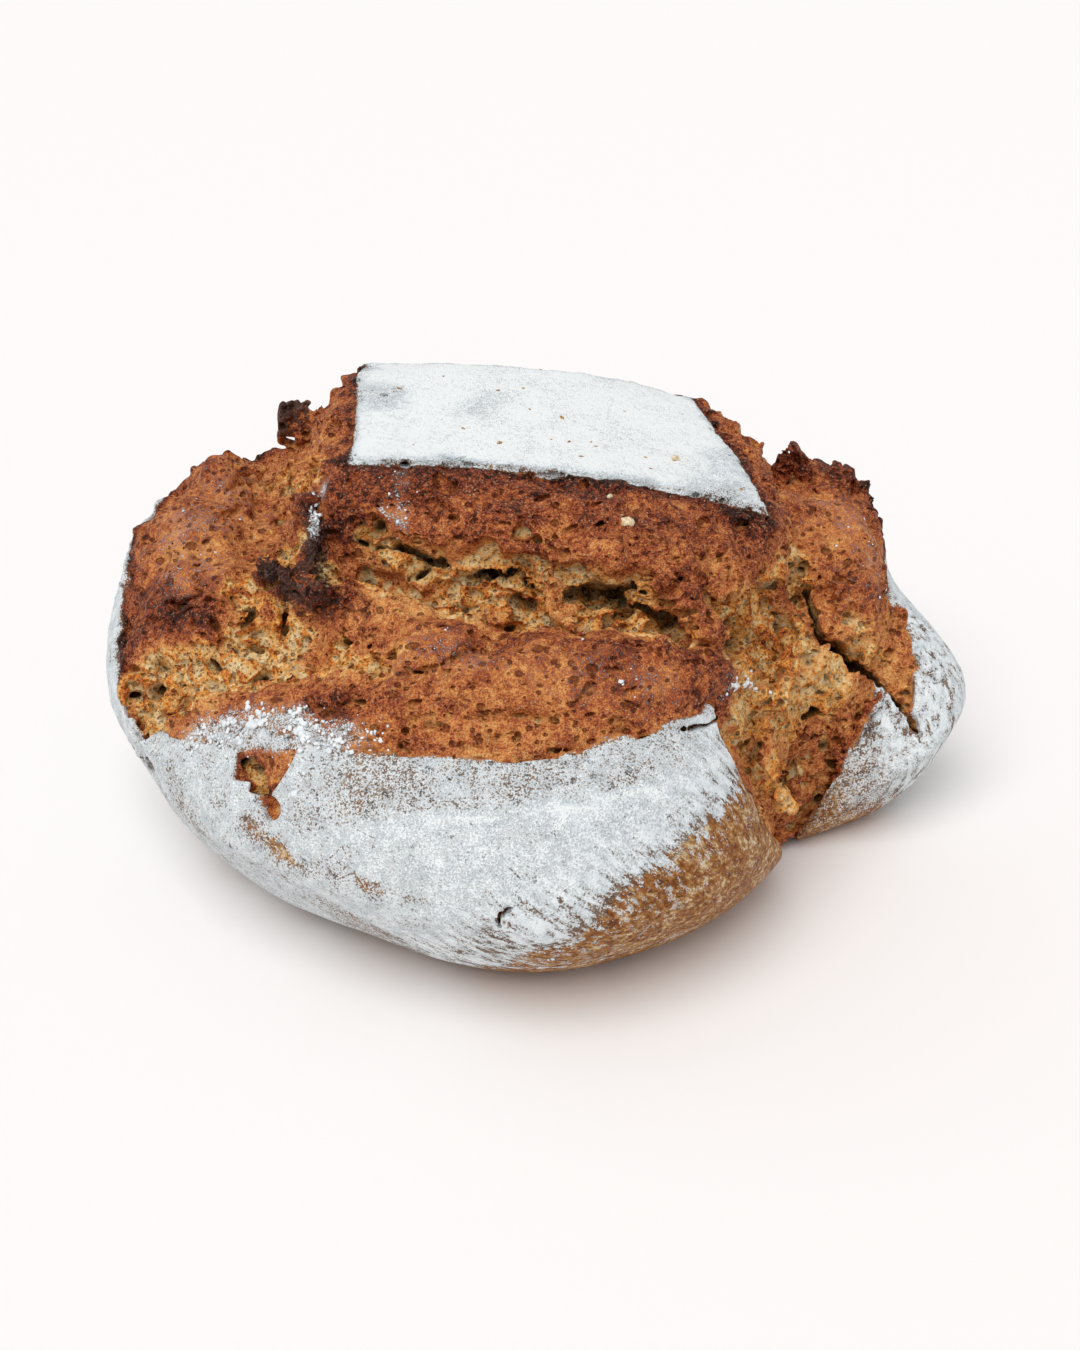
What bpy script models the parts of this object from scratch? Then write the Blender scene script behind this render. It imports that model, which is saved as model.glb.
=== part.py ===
"""Round rye loaf, floured, scored with a square of cuts and burst open round a raised square lid.

The loaf is one solid. Going from its top to its base it is a stack of closed rings:
the edge of the floured lid, the foot of the torn wall under it, the crest of the burst band,
the lip where the floured side crust begins, the widest level, and the edge of the flat base.
Each ring is given by its radius and height in twelve directions, a few named dents and swells
add what is local, and smooth profiles join one ring to the next.
"""
import math

import bmesh
import bpy
from mathutils import Vector

MM = 0.001

# Mesh of the solid: segments round the loaf and rings from the top pole to the base.
SEGMENTS = 112
LID_RINGS = 6
STEP_RINGS = 1
WALL_RINGS = 5
RISE_RINGS = 5
BAND_RINGS = 7
SHOULDER_RINGS = 8
UNDERCUT_RINGS = 6
BASE_RINGS = 4

# Lid of floured crust: its four corners in plan, its crown, and how it falls away (mm).
LID_CORNERS = ((62, -8), (45, 53), (-53, 54), (-50, -11))
LID_CENTRE = (0, 22)
LID_CROWN = (-50, 45)
LID_TOP = 113.2
LID_FALL_ACROSS = 0.0013
LID_FALL_ALONG = 0.0015
LID_SWELL = (12, 56)
LID_SWELL_WIDTHS = (26, 24)
LID_SWELL_RISE = 2.4
LID_CORNER_ROUND = 0.06
LID_STEP = 3.0
LID_OVERHANG = 1.0

# Rings, in mm, every 30 degrees from +X (right) through +Y (back), -X (left) and -Y (front).
FOOT_CENTRE = (0, 18)
FOOT_RADII = (68, 70, 66, 60, 72, 74, 66, 70, 62, 66, 76, 76)
FOOT_HEIGHTS = (86, 87, 86, 88, 87, 89, 91, 89, 86, 82, 78, 72)
CREST_CENTRE = (0, 6)
CREST_RADII = (88, 92, 86, 86, 92, 98, 98, 92, 84, 80, 82, 80)
CREST_HEIGHTS = (80, 81, 80, 86, 84, 84, 85, 75, 79, 84, 78, 56)
LIP_RADII = (102, 112, 101, 98, 105, 116, 118, 115, 101, 93, 85, 82)
LIP_HEIGHTS = (56, 74, 74, 75, 77, 76, 62, 46, 60, 66, 62, 20)
WIDE_RADII = (122, 117, 109, 110, 117, 127, 126, 118, 112, 115, 103, 93)
WIDE_HEIGHTS = (30, 36, 38, 38, 42, 46, 44, 36, 34, 32, 30, 14)
BASE_RADII = (100, 92, 86, 88, 94, 99, 95, 84, 78, 83, 76, 75)

# Dents and swells of a ring: direction and half-width in degrees, change of radius and height (mm).
RING_SHAPES = (
    ("wide", 331, 9, -9, 0),
    ("base", 331, 9, -4, 0),
    ("lip", 331, 11, -3, -10),
    ("wide", 357, 14, 3, 2),
    ("wide", 15, 7, -13, 0),
    ("wide", 27, 8, -11, 0),
    ("wide", 160, 13, -5, 0),
    ("lip", 165, 9, 3, 5),
    ("lip", 10, 7, -4, -3),
    ("wide", 205, 12, -4, 0),
    ("wide", 312, 9, -3, 0),
)

# Cracks and ridges of the burst band, seen in plan: start, end, half-width and rise (mm).
BAND_SHAPES = {
    "front fissure, left": ((-46, -30), (-10, -42), 4, -5),
    "front fissure, right": ((-10, -42), (38, -50), 4, -5),
    "ridge before the fissure": ((-60, -32), (-25, -62), 6, 4),
    "burnt lump": ((-68, -16), (-62, -24), 6, 7),
    "crumb hollow at the left corner": ((-98, -44), (-58, -54), 10, -5),
    "left valley": ((-76, -14), (-84, 62), 5, -9),
    "back left ear": ((-73, 54), (-60, 58), 8, 3),
    "left ear": ((-94, 34), (-100, 50), 6, 4),
    "right fissure": ((68, -13), (104, -20), 4, -7),
    "front right crumb hollow": ((50, -38), (72, -34), 7, -6),
    "right ear": ((86, 48), (100, 40), 7, 2),
    "notch beside the right ear": ((72, 34), (73, 74), 4, -7),
}

# How the profile between two rings bends. Behind the lid the torn wall drops steeply.
SHOULDER_START = math.radians(38)
UNDERCUT_SLANT = 0.35
STEEP_DIRECTIONS = (38, 55, 140, 155)


def around(values, angle):
    """A smooth closed curve through values spaced evenly round the loaf, read at an angle."""
    count = len(values)
    place = (angle / math.tau * count) % count
    index = int(place)
    part = place - index
    before, start, end, after = (values[(index + step) % count] for step in (-1, 0, 1, 2))
    bend = 2 * before - 5 * start + 4 * end - after + part * (3 * (start - end) + after - before)
    return start + 0.5 * part * (end - before + part * bend)


def swell(ring, angle):
    """Radius and height that the local shapes add to a ring at an angle."""
    radius = height = 0.0
    for name, direction, half_width, more_radius, more_height in RING_SHAPES:
        if name == ring:
            turn = (math.degrees(angle) - direction + 180) % 360 - 180
            weight = math.exp(-0.5 * (turn / half_width) ** 2)
            radius += weight * more_radius
            height += weight * more_height
    return radius, height


def ring_point(ring, angle, centre, radii, heights):
    """A point of a ring: out from its centre by its radius, at its height."""
    more_radius, more_height = swell(ring, angle)
    radius = around(radii, angle) + more_radius
    x = centre[0] + radius * math.cos(angle)
    y = centre[1] + radius * math.sin(angle)
    return Vector((x, y, around(heights, angle) + more_height))


def lid_height(x, y):
    """Height of the lid's crowned top."""
    across = LID_FALL_ACROSS * (x - LID_CROWN[0]) ** 2
    along = LID_FALL_ALONG * (y - LID_CROWN[1]) ** 2
    away = ((x - LID_SWELL[0]) / LID_SWELL_WIDTHS[0]) ** 2 + ((y - LID_SWELL[1]) / LID_SWELL_WIDTHS[1]) ** 2
    return LID_TOP - across - along + LID_SWELL_RISE * math.exp(-0.5 * away)


def lid_reach(angle):
    """Distance from the lid's centre to its edge, with slightly rounded corners."""
    nearness = 0.0
    sharpness = 1 / LID_CORNER_ROUND
    for index, corner in enumerate(LID_CORNERS):
        following = LID_CORNERS[(index + 1) % len(LID_CORNERS)]
        edge_x, edge_y = following[0] - corner[0], following[1] - corner[1]
        length = math.hypot(edge_x, edge_y)
        normal = (edge_y / length, -edge_x / length)
        gap = (corner[0] - LID_CENTRE[0]) * normal[0] + (corner[1] - LID_CENTRE[1]) * normal[1]
        facing = math.cos(angle) * normal[0] + math.sin(angle) * normal[1]
        nearness += max(facing / gap, 0.0) ** sharpness
    return nearness ** -LID_CORNER_ROUND


def lid_edge(angle, inset=0.0):
    """A point of the lid's edge, or of a smaller outline inside it."""
    reach = lid_reach(angle) - inset
    x = LID_CENTRE[0] + reach * math.cos(angle)
    y = LID_CENTRE[1] + reach * math.sin(angle)
    return Vector((x, y, lid_height(x, y)))


def smooth(value, start, end):
    """0 before start, 1 after end, with a smooth change between."""
    share = min(max((value - start) / (end - start), 0.0), 1.0)
    return share * share * (3 - 2 * share)


def mixed(start, end, plan_share, height_share):
    """A point between two others, by one share in plan and another in height."""
    plan = start.lerp(end, plan_share)
    return Vector((plan.x, plan.y, start.z + (end.z - start.z) * height_share))


def band_rise(point):
    """Height that the cracks and ridges of the burst band add at a point."""
    rise = 0.0
    plan = Vector((point.x, point.y))
    for start, end, half_width, height in BAND_SHAPES.values():
        start = Vector(start)
        run = Vector(end) - start
        share = min(max((plan - start).dot(run) / run.length_squared, 0.0), 1.0)
        distance = (plan - start - run * share).length
        rise += height * math.exp(-0.5 * (distance / half_width) ** 2)
    return rise


def profile(angle):
    """The points of the loaf's surface in one direction, from the top pole to the base's middle."""
    foot = ring_point("foot", angle, FOOT_CENTRE, FOOT_RADII, FOOT_HEIGHTS)
    crest = ring_point("crest", angle, CREST_CENTRE, CREST_RADII, CREST_HEIGHTS)
    lip = ring_point("lip", angle, (0, 0), LIP_RADII, LIP_HEIGHTS)
    wide = ring_point("wide", angle, (0, 0), WIDE_RADII, WIDE_HEIGHTS)
    base = ring_point("base", angle, (0, 0), BASE_RADII, [0] * len(BASE_RADII))
    points = []
    for ring in range(1, LID_RINGS + 1):
        reach = lid_reach(angle) * ring / LID_RINGS
        x = LID_CENTRE[0] + reach * math.cos(angle)
        y = LID_CENTRE[1] + reach * math.sin(angle)
        points.append(Vector((x, y, lid_height(x, y))))
    under_edge = lid_edge(angle, LID_OVERHANG)
    under_edge.z -= LID_STEP
    points.append(under_edge)
    steep_from, steep, gentle_from, gentle = STEEP_DIRECTIONS
    degrees = math.degrees(angle)
    steepness = smooth(degrees, steep_from, steep) * (1 - smooth(degrees, gentle_from, gentle))
    for ring in range(1, WALL_RINGS + 1):
        turn = math.pi / 2 * ring / WALL_RINGS
        fast, slow = math.sin(turn), 1 - math.cos(turn)
        out = fast + steepness * (slow - fast)
        down = slow + steepness * (fast - slow)
        points.append(mixed(under_edge, foot, out, down))
        points[-1].z += band_rise(points[-1]) * fast
    for ring in range(1, RISE_RINGS + 1):
        share = ring / RISE_RINGS
        points.append(mixed(foot, crest, share, share * share * (3 - 2 * share)))
        points[-1].z += band_rise(points[-1])
    for ring in range(1, BAND_RINGS + 1):
        share = ring / BAND_RINGS
        points.append(mixed(crest, lip, share, 0.35 * share + 0.65 * share ** 2))
        points[-1].z += band_rise(points[-1])
    lip = points[-1]
    for ring in range(1, SHOULDER_RINGS + 1):
        turn = SHOULDER_START + (math.pi / 2 - SHOULDER_START) * ring / SHOULDER_RINGS
        out = (math.sin(turn) - math.sin(SHOULDER_START)) / (1 - math.sin(SHOULDER_START))
        down = 1 - math.cos(turn) / math.cos(SHOULDER_START)
        points.append(mixed(lip, wide, out, down))
    for ring in range(1, UNDERCUT_RINGS + 1):
        turn = math.pi / 2 * ring / UNDERCUT_RINGS
        inward = (1 - UNDERCUT_SLANT) * (1 - math.cos(turn)) + UNDERCUT_SLANT * math.sin(turn)
        points.append(mixed(wide, base, inward, math.sin(turn)))
    for ring in range(1, BASE_RINGS):
        points.append(base * (1 - ring / BASE_RINGS))
    return points


def crust_material():
    """Matt browned and floured crust."""
    material = bpy.data.materials.new("rye_crust")
    material.use_nodes = True
    shader = material.node_tree.nodes["Principled BSDF"]
    shader.inputs["Base Color"].default_value = (0.36, 0.19, 0.09, 1.0)
    shader.inputs["Roughness"].default_value = 0.85
    shader.inputs["Metallic"].default_value = 0.0
    return material


def centre_over_origin(shape):
    """Move the mesh sideways until the middle of its box is over the origin."""
    for axis in (0, 1):
        places = [vertex.co[axis] for vertex in shape.verts]
        middle = (min(places) + max(places)) / 2
        for vertex in shape.verts:
            vertex.co[axis] -= middle


def build_loaf(collection):
    """The loaf: a UV sphere whose rings are laid on the profiles."""
    rings = (LID_RINGS + STEP_RINGS + WALL_RINGS + RISE_RINGS + BAND_RINGS
             + SHOULDER_RINGS + UNDERCUT_RINGS + BASE_RINGS)
    shape = bmesh.new()
    bmesh.ops.create_uvsphere(shape, u_segments=SEGMENTS, v_segments=rings, radius=1.0)
    profiles = [profile(math.tau * segment / SEGMENTS) for segment in range(SEGMENTS)]
    for vertex in shape.verts:
        ring = round(math.acos(max(-1.0, min(1.0, vertex.co.z))) / math.pi * rings)
        if ring == 0:
            vertex.co = Vector((*LID_CENTRE, lid_height(*LID_CENTRE))) * MM
        elif ring == rings:
            vertex.co = Vector((0, 0, 0))
        else:
            angle = math.atan2(vertex.co.y, vertex.co.x) % math.tau
            segment = round(angle / math.tau * SEGMENTS) % SEGMENTS
            vertex.co = profiles[segment][ring - 1] * MM
    centre_over_origin(shape)
    bmesh.ops.recalc_face_normals(shape, faces=shape.faces)
    mesh = bpy.data.meshes.new("loaf")
    shape.to_mesh(mesh)
    shape.free()
    mesh.materials.append(crust_material())
    mesh.shade_smooth()
    mesh.set_sharp_from_angle(angle=math.radians(50))
    loaf = bpy.data.objects.new("loaf", mesh)
    collection.objects.link(loaf)
    return loaf


def main():
    for leftover in list(bpy.data.objects):
        bpy.data.objects.remove(leftover)
    collection = bpy.data.collections.new("rye_bread_loaf")
    bpy.context.scene.collection.children.link(collection)
    build_loaf(collection)


main()
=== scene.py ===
"""Looks of the rye bread loaf: floured crust, burst band with its crumb, and what lies on it.

The loaf's skin is cut from a volume. The rings of the CAD solid give the large form; cracks,
pores, ragged edges and lumps are carved out of it or built onto it in a grid of distances, and
the grid is turned into one closed mesh. All sculpting is in millimetres, in the frame of the
rings; the finished meshes are moved over the CAD loaf and scaled to metres.
"""
import math

import bmesh
import bpy
import numpy as np
import openvdb
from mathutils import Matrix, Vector


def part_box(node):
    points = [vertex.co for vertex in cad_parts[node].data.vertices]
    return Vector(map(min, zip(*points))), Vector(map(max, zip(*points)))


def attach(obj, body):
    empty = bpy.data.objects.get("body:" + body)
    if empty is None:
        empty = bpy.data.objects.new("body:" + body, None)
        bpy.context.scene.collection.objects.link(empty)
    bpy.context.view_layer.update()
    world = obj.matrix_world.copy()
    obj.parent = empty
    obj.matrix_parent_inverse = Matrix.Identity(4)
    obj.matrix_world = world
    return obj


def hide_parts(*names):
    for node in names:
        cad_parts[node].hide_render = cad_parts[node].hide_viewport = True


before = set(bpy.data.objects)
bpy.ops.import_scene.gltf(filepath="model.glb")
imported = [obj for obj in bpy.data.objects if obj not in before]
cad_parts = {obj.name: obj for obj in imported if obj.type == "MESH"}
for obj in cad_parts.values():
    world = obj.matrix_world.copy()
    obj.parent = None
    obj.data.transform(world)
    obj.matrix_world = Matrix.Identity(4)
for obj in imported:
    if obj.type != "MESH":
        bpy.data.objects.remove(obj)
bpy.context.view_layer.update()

MM = 0.001
VOXEL = 0.45
REACH = 9.0
TILE = 140
MARGIN = 12
ADAPTIVITY = 0.1

# ---------------------------------------------------------------------------------------------
# Large form: the rings of the loaf, as in the CAD solid (mm, degrees)
# ---------------------------------------------------------------------------------------------
LID_CORNERS = ((62, -8), (45, 53), (-53, 54), (-50, -11))
LID_CENTRE = (0, 22)
LID_CROWN = (-50, 45)
LID_TOP = 113.2
LID_FALL_ACROSS = 0.0013
LID_FALL_ALONG = 0.0015
LID_SWELL = (12, 56)
LID_SWELL_WIDTHS = (26, 24)
LID_SWELL_RISE = 2.4
LID_CORNER_ROUND = 0.03
LID_STEP = 1.2
LID_OVERHANG = 0.4
FOOT_CENTRE = (0, 18)
FOOT_RADII = (68, 70, 66, 60, 72, 74, 66, 70, 62, 66, 76, 76)
FOOT_HEIGHTS = (86, 87, 86, 88, 87, 89, 91, 89, 86, 82, 78, 72)
CREST_CENTRE = (0, 6)
CREST_RADII = (88, 92, 86, 86, 92, 98, 98, 92, 84, 80, 82, 80)
CREST_HEIGHTS = (80, 81, 80, 86, 84, 84, 85, 75, 79, 84, 78, 56)
LIP_RADII = (102, 112, 101, 98, 105, 116, 118, 115, 101, 93, 85, 82)
LIP_HEIGHTS = (56, 74, 74, 75, 77, 76, 62, 46, 60, 66, 62, 20)
WIDE_RADII = (122, 117, 109, 110, 117, 127, 126, 118, 112, 115, 103, 93)
WIDE_HEIGHTS = (30, 36, 38, 38, 42, 46, 44, 36, 34, 32, 30, 14)
BASE_RADII = (100, 92, 86, 88, 94, 99, 95, 84, 78, 83, 76, 75)
RING_SHAPES = (
    ("wide", 331, 9, -9, 0),
    ("base", 331, 9, -4, 0),
    ("lip", 331, 11, -3, -10),
    ("wide", 357, 14, 3, 2),
    ("wide", 15, 7, -13, 0),
    ("wide", 27, 8, -11, 0),
    ("wide", 160, 13, -5, 0),
    ("lip", 165, 9, 3, 5),
    ("lip", 10, 7, -4, -3),
    ("wide", 205, 12, -4, 0),
    ("wide", 312, 9, -3, 0),
)
BAND_SHAPES = {
    "front fissure, left": ((-46, -30), (-10, -42), 4, -5),
    "front fissure, right": ((-10, -42), (38, -50), 4, -5),
    "ridge before the fissure": ((-60, -32), (-25, -62), 6, 4),
    "burnt lump": ((-68, -16), (-62, -24), 6, 7),
    "crumb hollow at the left corner": ((-98, -44), (-58, -54), 10, -5),
    "left valley": ((-76, -14), (-84, 62), 5, -9),
    "back left ear": ((-73, 54), (-60, 58), 8, 3),
    "left ear": ((-94, 34), (-100, 50), 6, 4),
    "right fissure": ((68, -13), (104, -20), 4, -7),
    "front right crumb hollow": ((50, -38), (72, -34), 7, -6),
    "right ear": ((86, 48), (100, 40), 7, 2),
    "notch beside the right ear": ((72, 34), (73, 74), 4, -7),
}
UNDERCUT_SLANT = 0.35
SHOULDER_START = math.radians(38)
SEGMENTS = 400
LID_RINGS = 16
WALL_RINGS = 16
RISE_RINGS = 14
BAND_RINGS = 16
SHOULDER_RINGS = 24
UNDERCUT_RINGS = 16
BASE_RINGS = 6

# Where the floured side crust ends and the burst band begins: direction and height.
CRUST_LINE = (
    (0, 55), (8, 60), (20, 66), (30, 71), (45, 70), (60, 72), (90, 73), (120, 75), (150, 72),
    (166, 78), (174, 72), (183, 69), (186, 63), (188, 57), (193, 52), (197, 48), (204, 45), (213, 55),
    (222, 62), (223.5, 63), (225.5, 57), (229, 51), (232, 48), (233.6, 57), (234.6, 65), (250, 67), (268, 68), (279, 69), (293, 69), (301, 68), (302, 60), (303, 47),
    (306, 39), (310, 28), (316, 17), (323, 8), (329, 1), (331, 1), (333, 3), (336, 9), (340, 17), (343, 22),
    (346, 29), (349, 34), (351, 39), (356, 46),
)

# How far the floured crust reaches in over the lip: direction and distance.
CRUST_OVER_LIP = ((198, 0), (208, 4.5), (222, 4.5), (224, 4.0), (225.5, -1.0), (233.4, -1.0), (234.6, 3.2),
                  (250, 1.5), (264, 0), (289, 0), (294, 4.5), (301.5, 4.5), (302.3, 0))

# The smooth edge of the small floured lobe: a place on it, the way across it, and its directions.
LOBE_EDGE = (97, -16, 39)
LOBE_ACROSS = (0.831, -0.409, -0.378)
LOBE_DIRECTIONS = (330, 331.5, 350.5, 352)

# The band's tip beside the right fissure: its height where it starts, and how fast it falls.
TIP_LOW = 51
TIP_FALL = 0.95


def periodic(values, angle):
    """A smooth closed curve through values spaced evenly round the loaf, read at some angles."""
    values = np.asarray(values, float)
    place = (angle / math.tau * len(values)) % len(values)
    index = place.astype(int)
    part = place - index
    before, start, end, after = (values[(index + step) % len(values)] for step in (-1, 0, 1, 2))
    bend = 2 * before - 5 * start + 4 * end - after + part * (3 * (start - end) + after - before)
    return start + 0.5 * part * (end - before + part * bend)


def ring(name, angle, centre, radii, heights):
    """Points of a ring, with its dents and swells."""
    radius = periodic(radii, angle)
    height = periodic(heights, angle)
    for shape, direction, half_width, more_radius, more_height in RING_SHAPES:
        if shape == name:
            turn = (np.degrees(angle) - direction + 180) % 360 - 180
            weight = np.exp(-0.5 * (turn / half_width) ** 2)
            radius = radius + weight * more_radius
            height = height + weight * more_height
    return np.stack([centre[0] + radius * np.cos(angle), centre[1] + radius * np.sin(angle), height], -1)


def lid_height(x, y):
    """Height of the lid's crowned top."""
    away = ((x - LID_SWELL[0]) / LID_SWELL_WIDTHS[0]) ** 2 + ((y - LID_SWELL[1]) / LID_SWELL_WIDTHS[1]) ** 2
    fall = LID_FALL_ACROSS * (x - LID_CROWN[0]) ** 2 + LID_FALL_ALONG * (y - LID_CROWN[1]) ** 2
    return LID_TOP - fall + LID_SWELL_RISE * np.exp(-0.5 * away)


def lid_edges():
    """Outward normal and distance from the lid's centre of each of its four sides."""
    for index, corner in enumerate(LID_CORNERS):
        following = LID_CORNERS[(index + 1) % len(LID_CORNERS)]
        edge = np.subtract(following, corner)
        normal = np.array([edge[1], -edge[0]]) / np.hypot(*edge)
        yield normal, float(np.dot(np.subtract(corner, LID_CENTRE), normal))


def lid_reach(angle):
    """Distance from the lid's centre to its edge."""
    nearness = 0.0
    for normal, gap in lid_edges():
        facing = np.cos(angle) * normal[0] + np.sin(angle) * normal[1]
        nearness = nearness + np.maximum(facing / gap, 0.0) ** (1 / LID_CORNER_ROUND)
    return nearness ** -LID_CORNER_ROUND


def lid_distance(x, y):
    """Distance in plan from the lid's edge, negative over the lid."""
    sides = [(x - LID_CENTRE[0]) * n[0] + (y - LID_CENTRE[1]) * n[1] - gap for n, gap in lid_edges()]
    return np.maximum.reduce(sides)


def lid_points(angle, share, inset=0.0):
    """Points of the lid's top, at a share of the way from its centre to its edge."""
    reach = (lid_reach(angle) - inset) * share
    x = LID_CENTRE[0] + reach * np.cos(angle)
    y = LID_CENTRE[1] + reach * np.sin(angle)
    return np.stack([x, y, lid_height(x, y)], -1)


def mixed(start, end, plan_share, height_share):
    """Points between two others, by one share in plan and another in height."""
    share = np.stack(np.broadcast_arrays(plan_share, plan_share, height_share), -1)
    return start + (end - start) * share


def strip_distance(x, y, start, end):
    """Distance in plan from a straight strip."""
    run = np.subtract(end, start).astype(float)
    share = np.clip(((x - start[0]) * run[0] + (y - start[1]) * run[1]) / np.dot(run, run), 0, 1)
    return np.hypot(x - start[0] - run[0] * share, y - start[1] - run[1] * share)


def band_rise(x, y):
    """Height that the cracks and ridges of the burst band add."""
    rise = 0.0
    for start, end, half_width, height in BAND_SHAPES.values():
        rise = rise + height * np.exp(-0.5 * (strip_distance(x, y, start, end) / half_width) ** 2)
    return rise


def raised(points, share=1.0):
    """Points of the band, lifted by its ridges and lowered by its cracks."""
    points = points.copy()
    points[:, 2] += band_rise(points[:, 0], points[:, 1]) * share
    return points


def large_form():
    """The loaf's large form as points and four-sided faces."""
    angle = np.arange(SEGMENTS) * math.tau / SEGMENTS
    origin = (0, 0)
    foot = ring("foot", angle, FOOT_CENTRE, FOOT_RADII, FOOT_HEIGHTS)
    crest = ring("crest", angle, CREST_CENTRE, CREST_RADII, CREST_HEIGHTS)
    lip = ring("lip", angle, origin, LIP_RADII, LIP_HEIGHTS)
    wide = ring("wide", angle, origin, WIDE_RADII, WIDE_HEIGHTS)
    base = ring("base", angle, origin, BASE_RADII, [0] * len(BASE_RADII))
    under_edge = lid_points(angle, 1.0, LID_OVERHANG) - (0, 0, LID_STEP)
    rows = [lid_points(angle, (step + 0.05) / LID_RINGS) for step in range(LID_RINGS)]
    rows += [lid_points(angle, 1.0), under_edge]
    steep = smooth(np.degrees(angle), 38, 55) * (1 - smooth(np.degrees(angle), 140, 155))
    for step in range(1, WALL_RINGS + 1):
        turn = math.pi / 2 * step / WALL_RINGS
        fast, slow = math.sin(turn), 1 - math.cos(turn)
        wall = mixed(under_edge, foot, fast + steep * (slow - fast), slow + steep * (fast - slow))
        rows.append(raised(wall, fast))
    for step in range(1, RISE_RINGS + 1):
        share = step / RISE_RINGS
        rows.append(raised(mixed(foot, crest, share, share * share * (3 - 2 * share))))
    for step in range(1, BAND_RINGS + 1):
        share = step / BAND_RINGS
        rows.append(raised(mixed(crest, lip, share, 0.35 * share + 0.65 * share ** 2)))
    lip = rows[-1]
    for step in range(1, SHOULDER_RINGS + 1):
        turn = SHOULDER_START + (math.pi / 2 - SHOULDER_START) * step / SHOULDER_RINGS
        out = (math.sin(turn) - math.sin(SHOULDER_START)) / (1 - math.sin(SHOULDER_START))
        rows.append(mixed(lip, wide, out, 1 - math.cos(turn) / math.cos(SHOULDER_START)))
    for step in range(1, UNDERCUT_RINGS + 1):
        turn = math.pi / 2 * step / UNDERCUT_RINGS
        inward = (1 - UNDERCUT_SLANT) * (1 - math.cos(turn)) + UNDERCUT_SLANT * math.sin(turn)
        rows.append(mixed(wide, base, inward, math.sin(turn)))
    rows += [base * (1 - step / BASE_RINGS) for step in range(1, BASE_RINGS)]
    points = np.concatenate(rows)
    top = np.array([[*LID_CENTRE, lid_height(*LID_CENTRE)]])
    points = np.concatenate([points, top, np.zeros((1, 3))])
    around = np.arange(SEGMENTS)
    following = (around + 1) % SEGMENTS
    quads = [
        np.stack([row + around, row + SEGMENTS + around, row + SEGMENTS + following, row + following], -1)
        for row in range(0, (len(rows) - 1) * SEGMENTS, SEGMENTS)
    ]
    last = (len(rows) - 1) * SEGMENTS
    top_fan = np.stack([np.full(SEGMENTS, len(points) - 2), around, following], -1)
    base_fan = np.stack([np.full(SEGMENTS, len(points) - 1), last + following, last + around], -1)
    return points, np.concatenate(quads), np.concatenate([top_fan, base_fan])


# ---------------------------------------------------------------------------------------------
# The volume: distances on a grid, noise, carving and building up
# ---------------------------------------------------------------------------------------------
def smooth(value, start, end):
    """0 before start, 1 after end, with a smooth change between."""
    share = np.clip((value - start) / (end - start), 0, 1)
    return share * share * (3 - 2 * share)


def noise_tile(wave, seed):
    """A cube of smooth noise that repeats, with waves of given lengths (mm) along x, y and z."""
    def weights(length):
        knots = max(4, round(TILE * VOXEL / length))
        place = np.arange(TILE) * knots / TILE
        index = place.astype(int)
        part = place - index
        table = np.zeros((TILE, knots), np.float32)
        spline = ((1 - part) ** 3, 3 * part ** 3 - 6 * part ** 2 + 4,
                  -3 * part ** 3 + 3 * part ** 2 + 3 * part + 1, part ** 3)
        for step, weight in enumerate(spline):
            table[np.arange(TILE), (index + step) % knots] += weight / 6
        return table

    tables = [weights(length) for length in wave]
    values = np.random.default_rng(seed).standard_normal([table.shape[1] for table in tables])
    cube = np.einsum("abc,xa,yb,zc->xyz", values.astype(np.float32), *tables, optimize=True)
    return cube / cube.std()


def blurred(values, reach):
    """A grid averaged over a box that reaches a few cells each way."""
    for axis in range(3):
        total = np.cumsum(values, axis=axis, dtype=np.float32)
        total = np.moveaxis(total, axis, 0)
        result = np.empty_like(total)
        wide = 2 * reach + 1
        result[reach + 1:-reach] = (total[wide:] - total[:-wide]) / wide
        result[:reach + 1] = result[reach + 1]
        result[-reach:] = result[-reach - 1]
        values = np.moveaxis(result, 0, axis)
    return values


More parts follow.
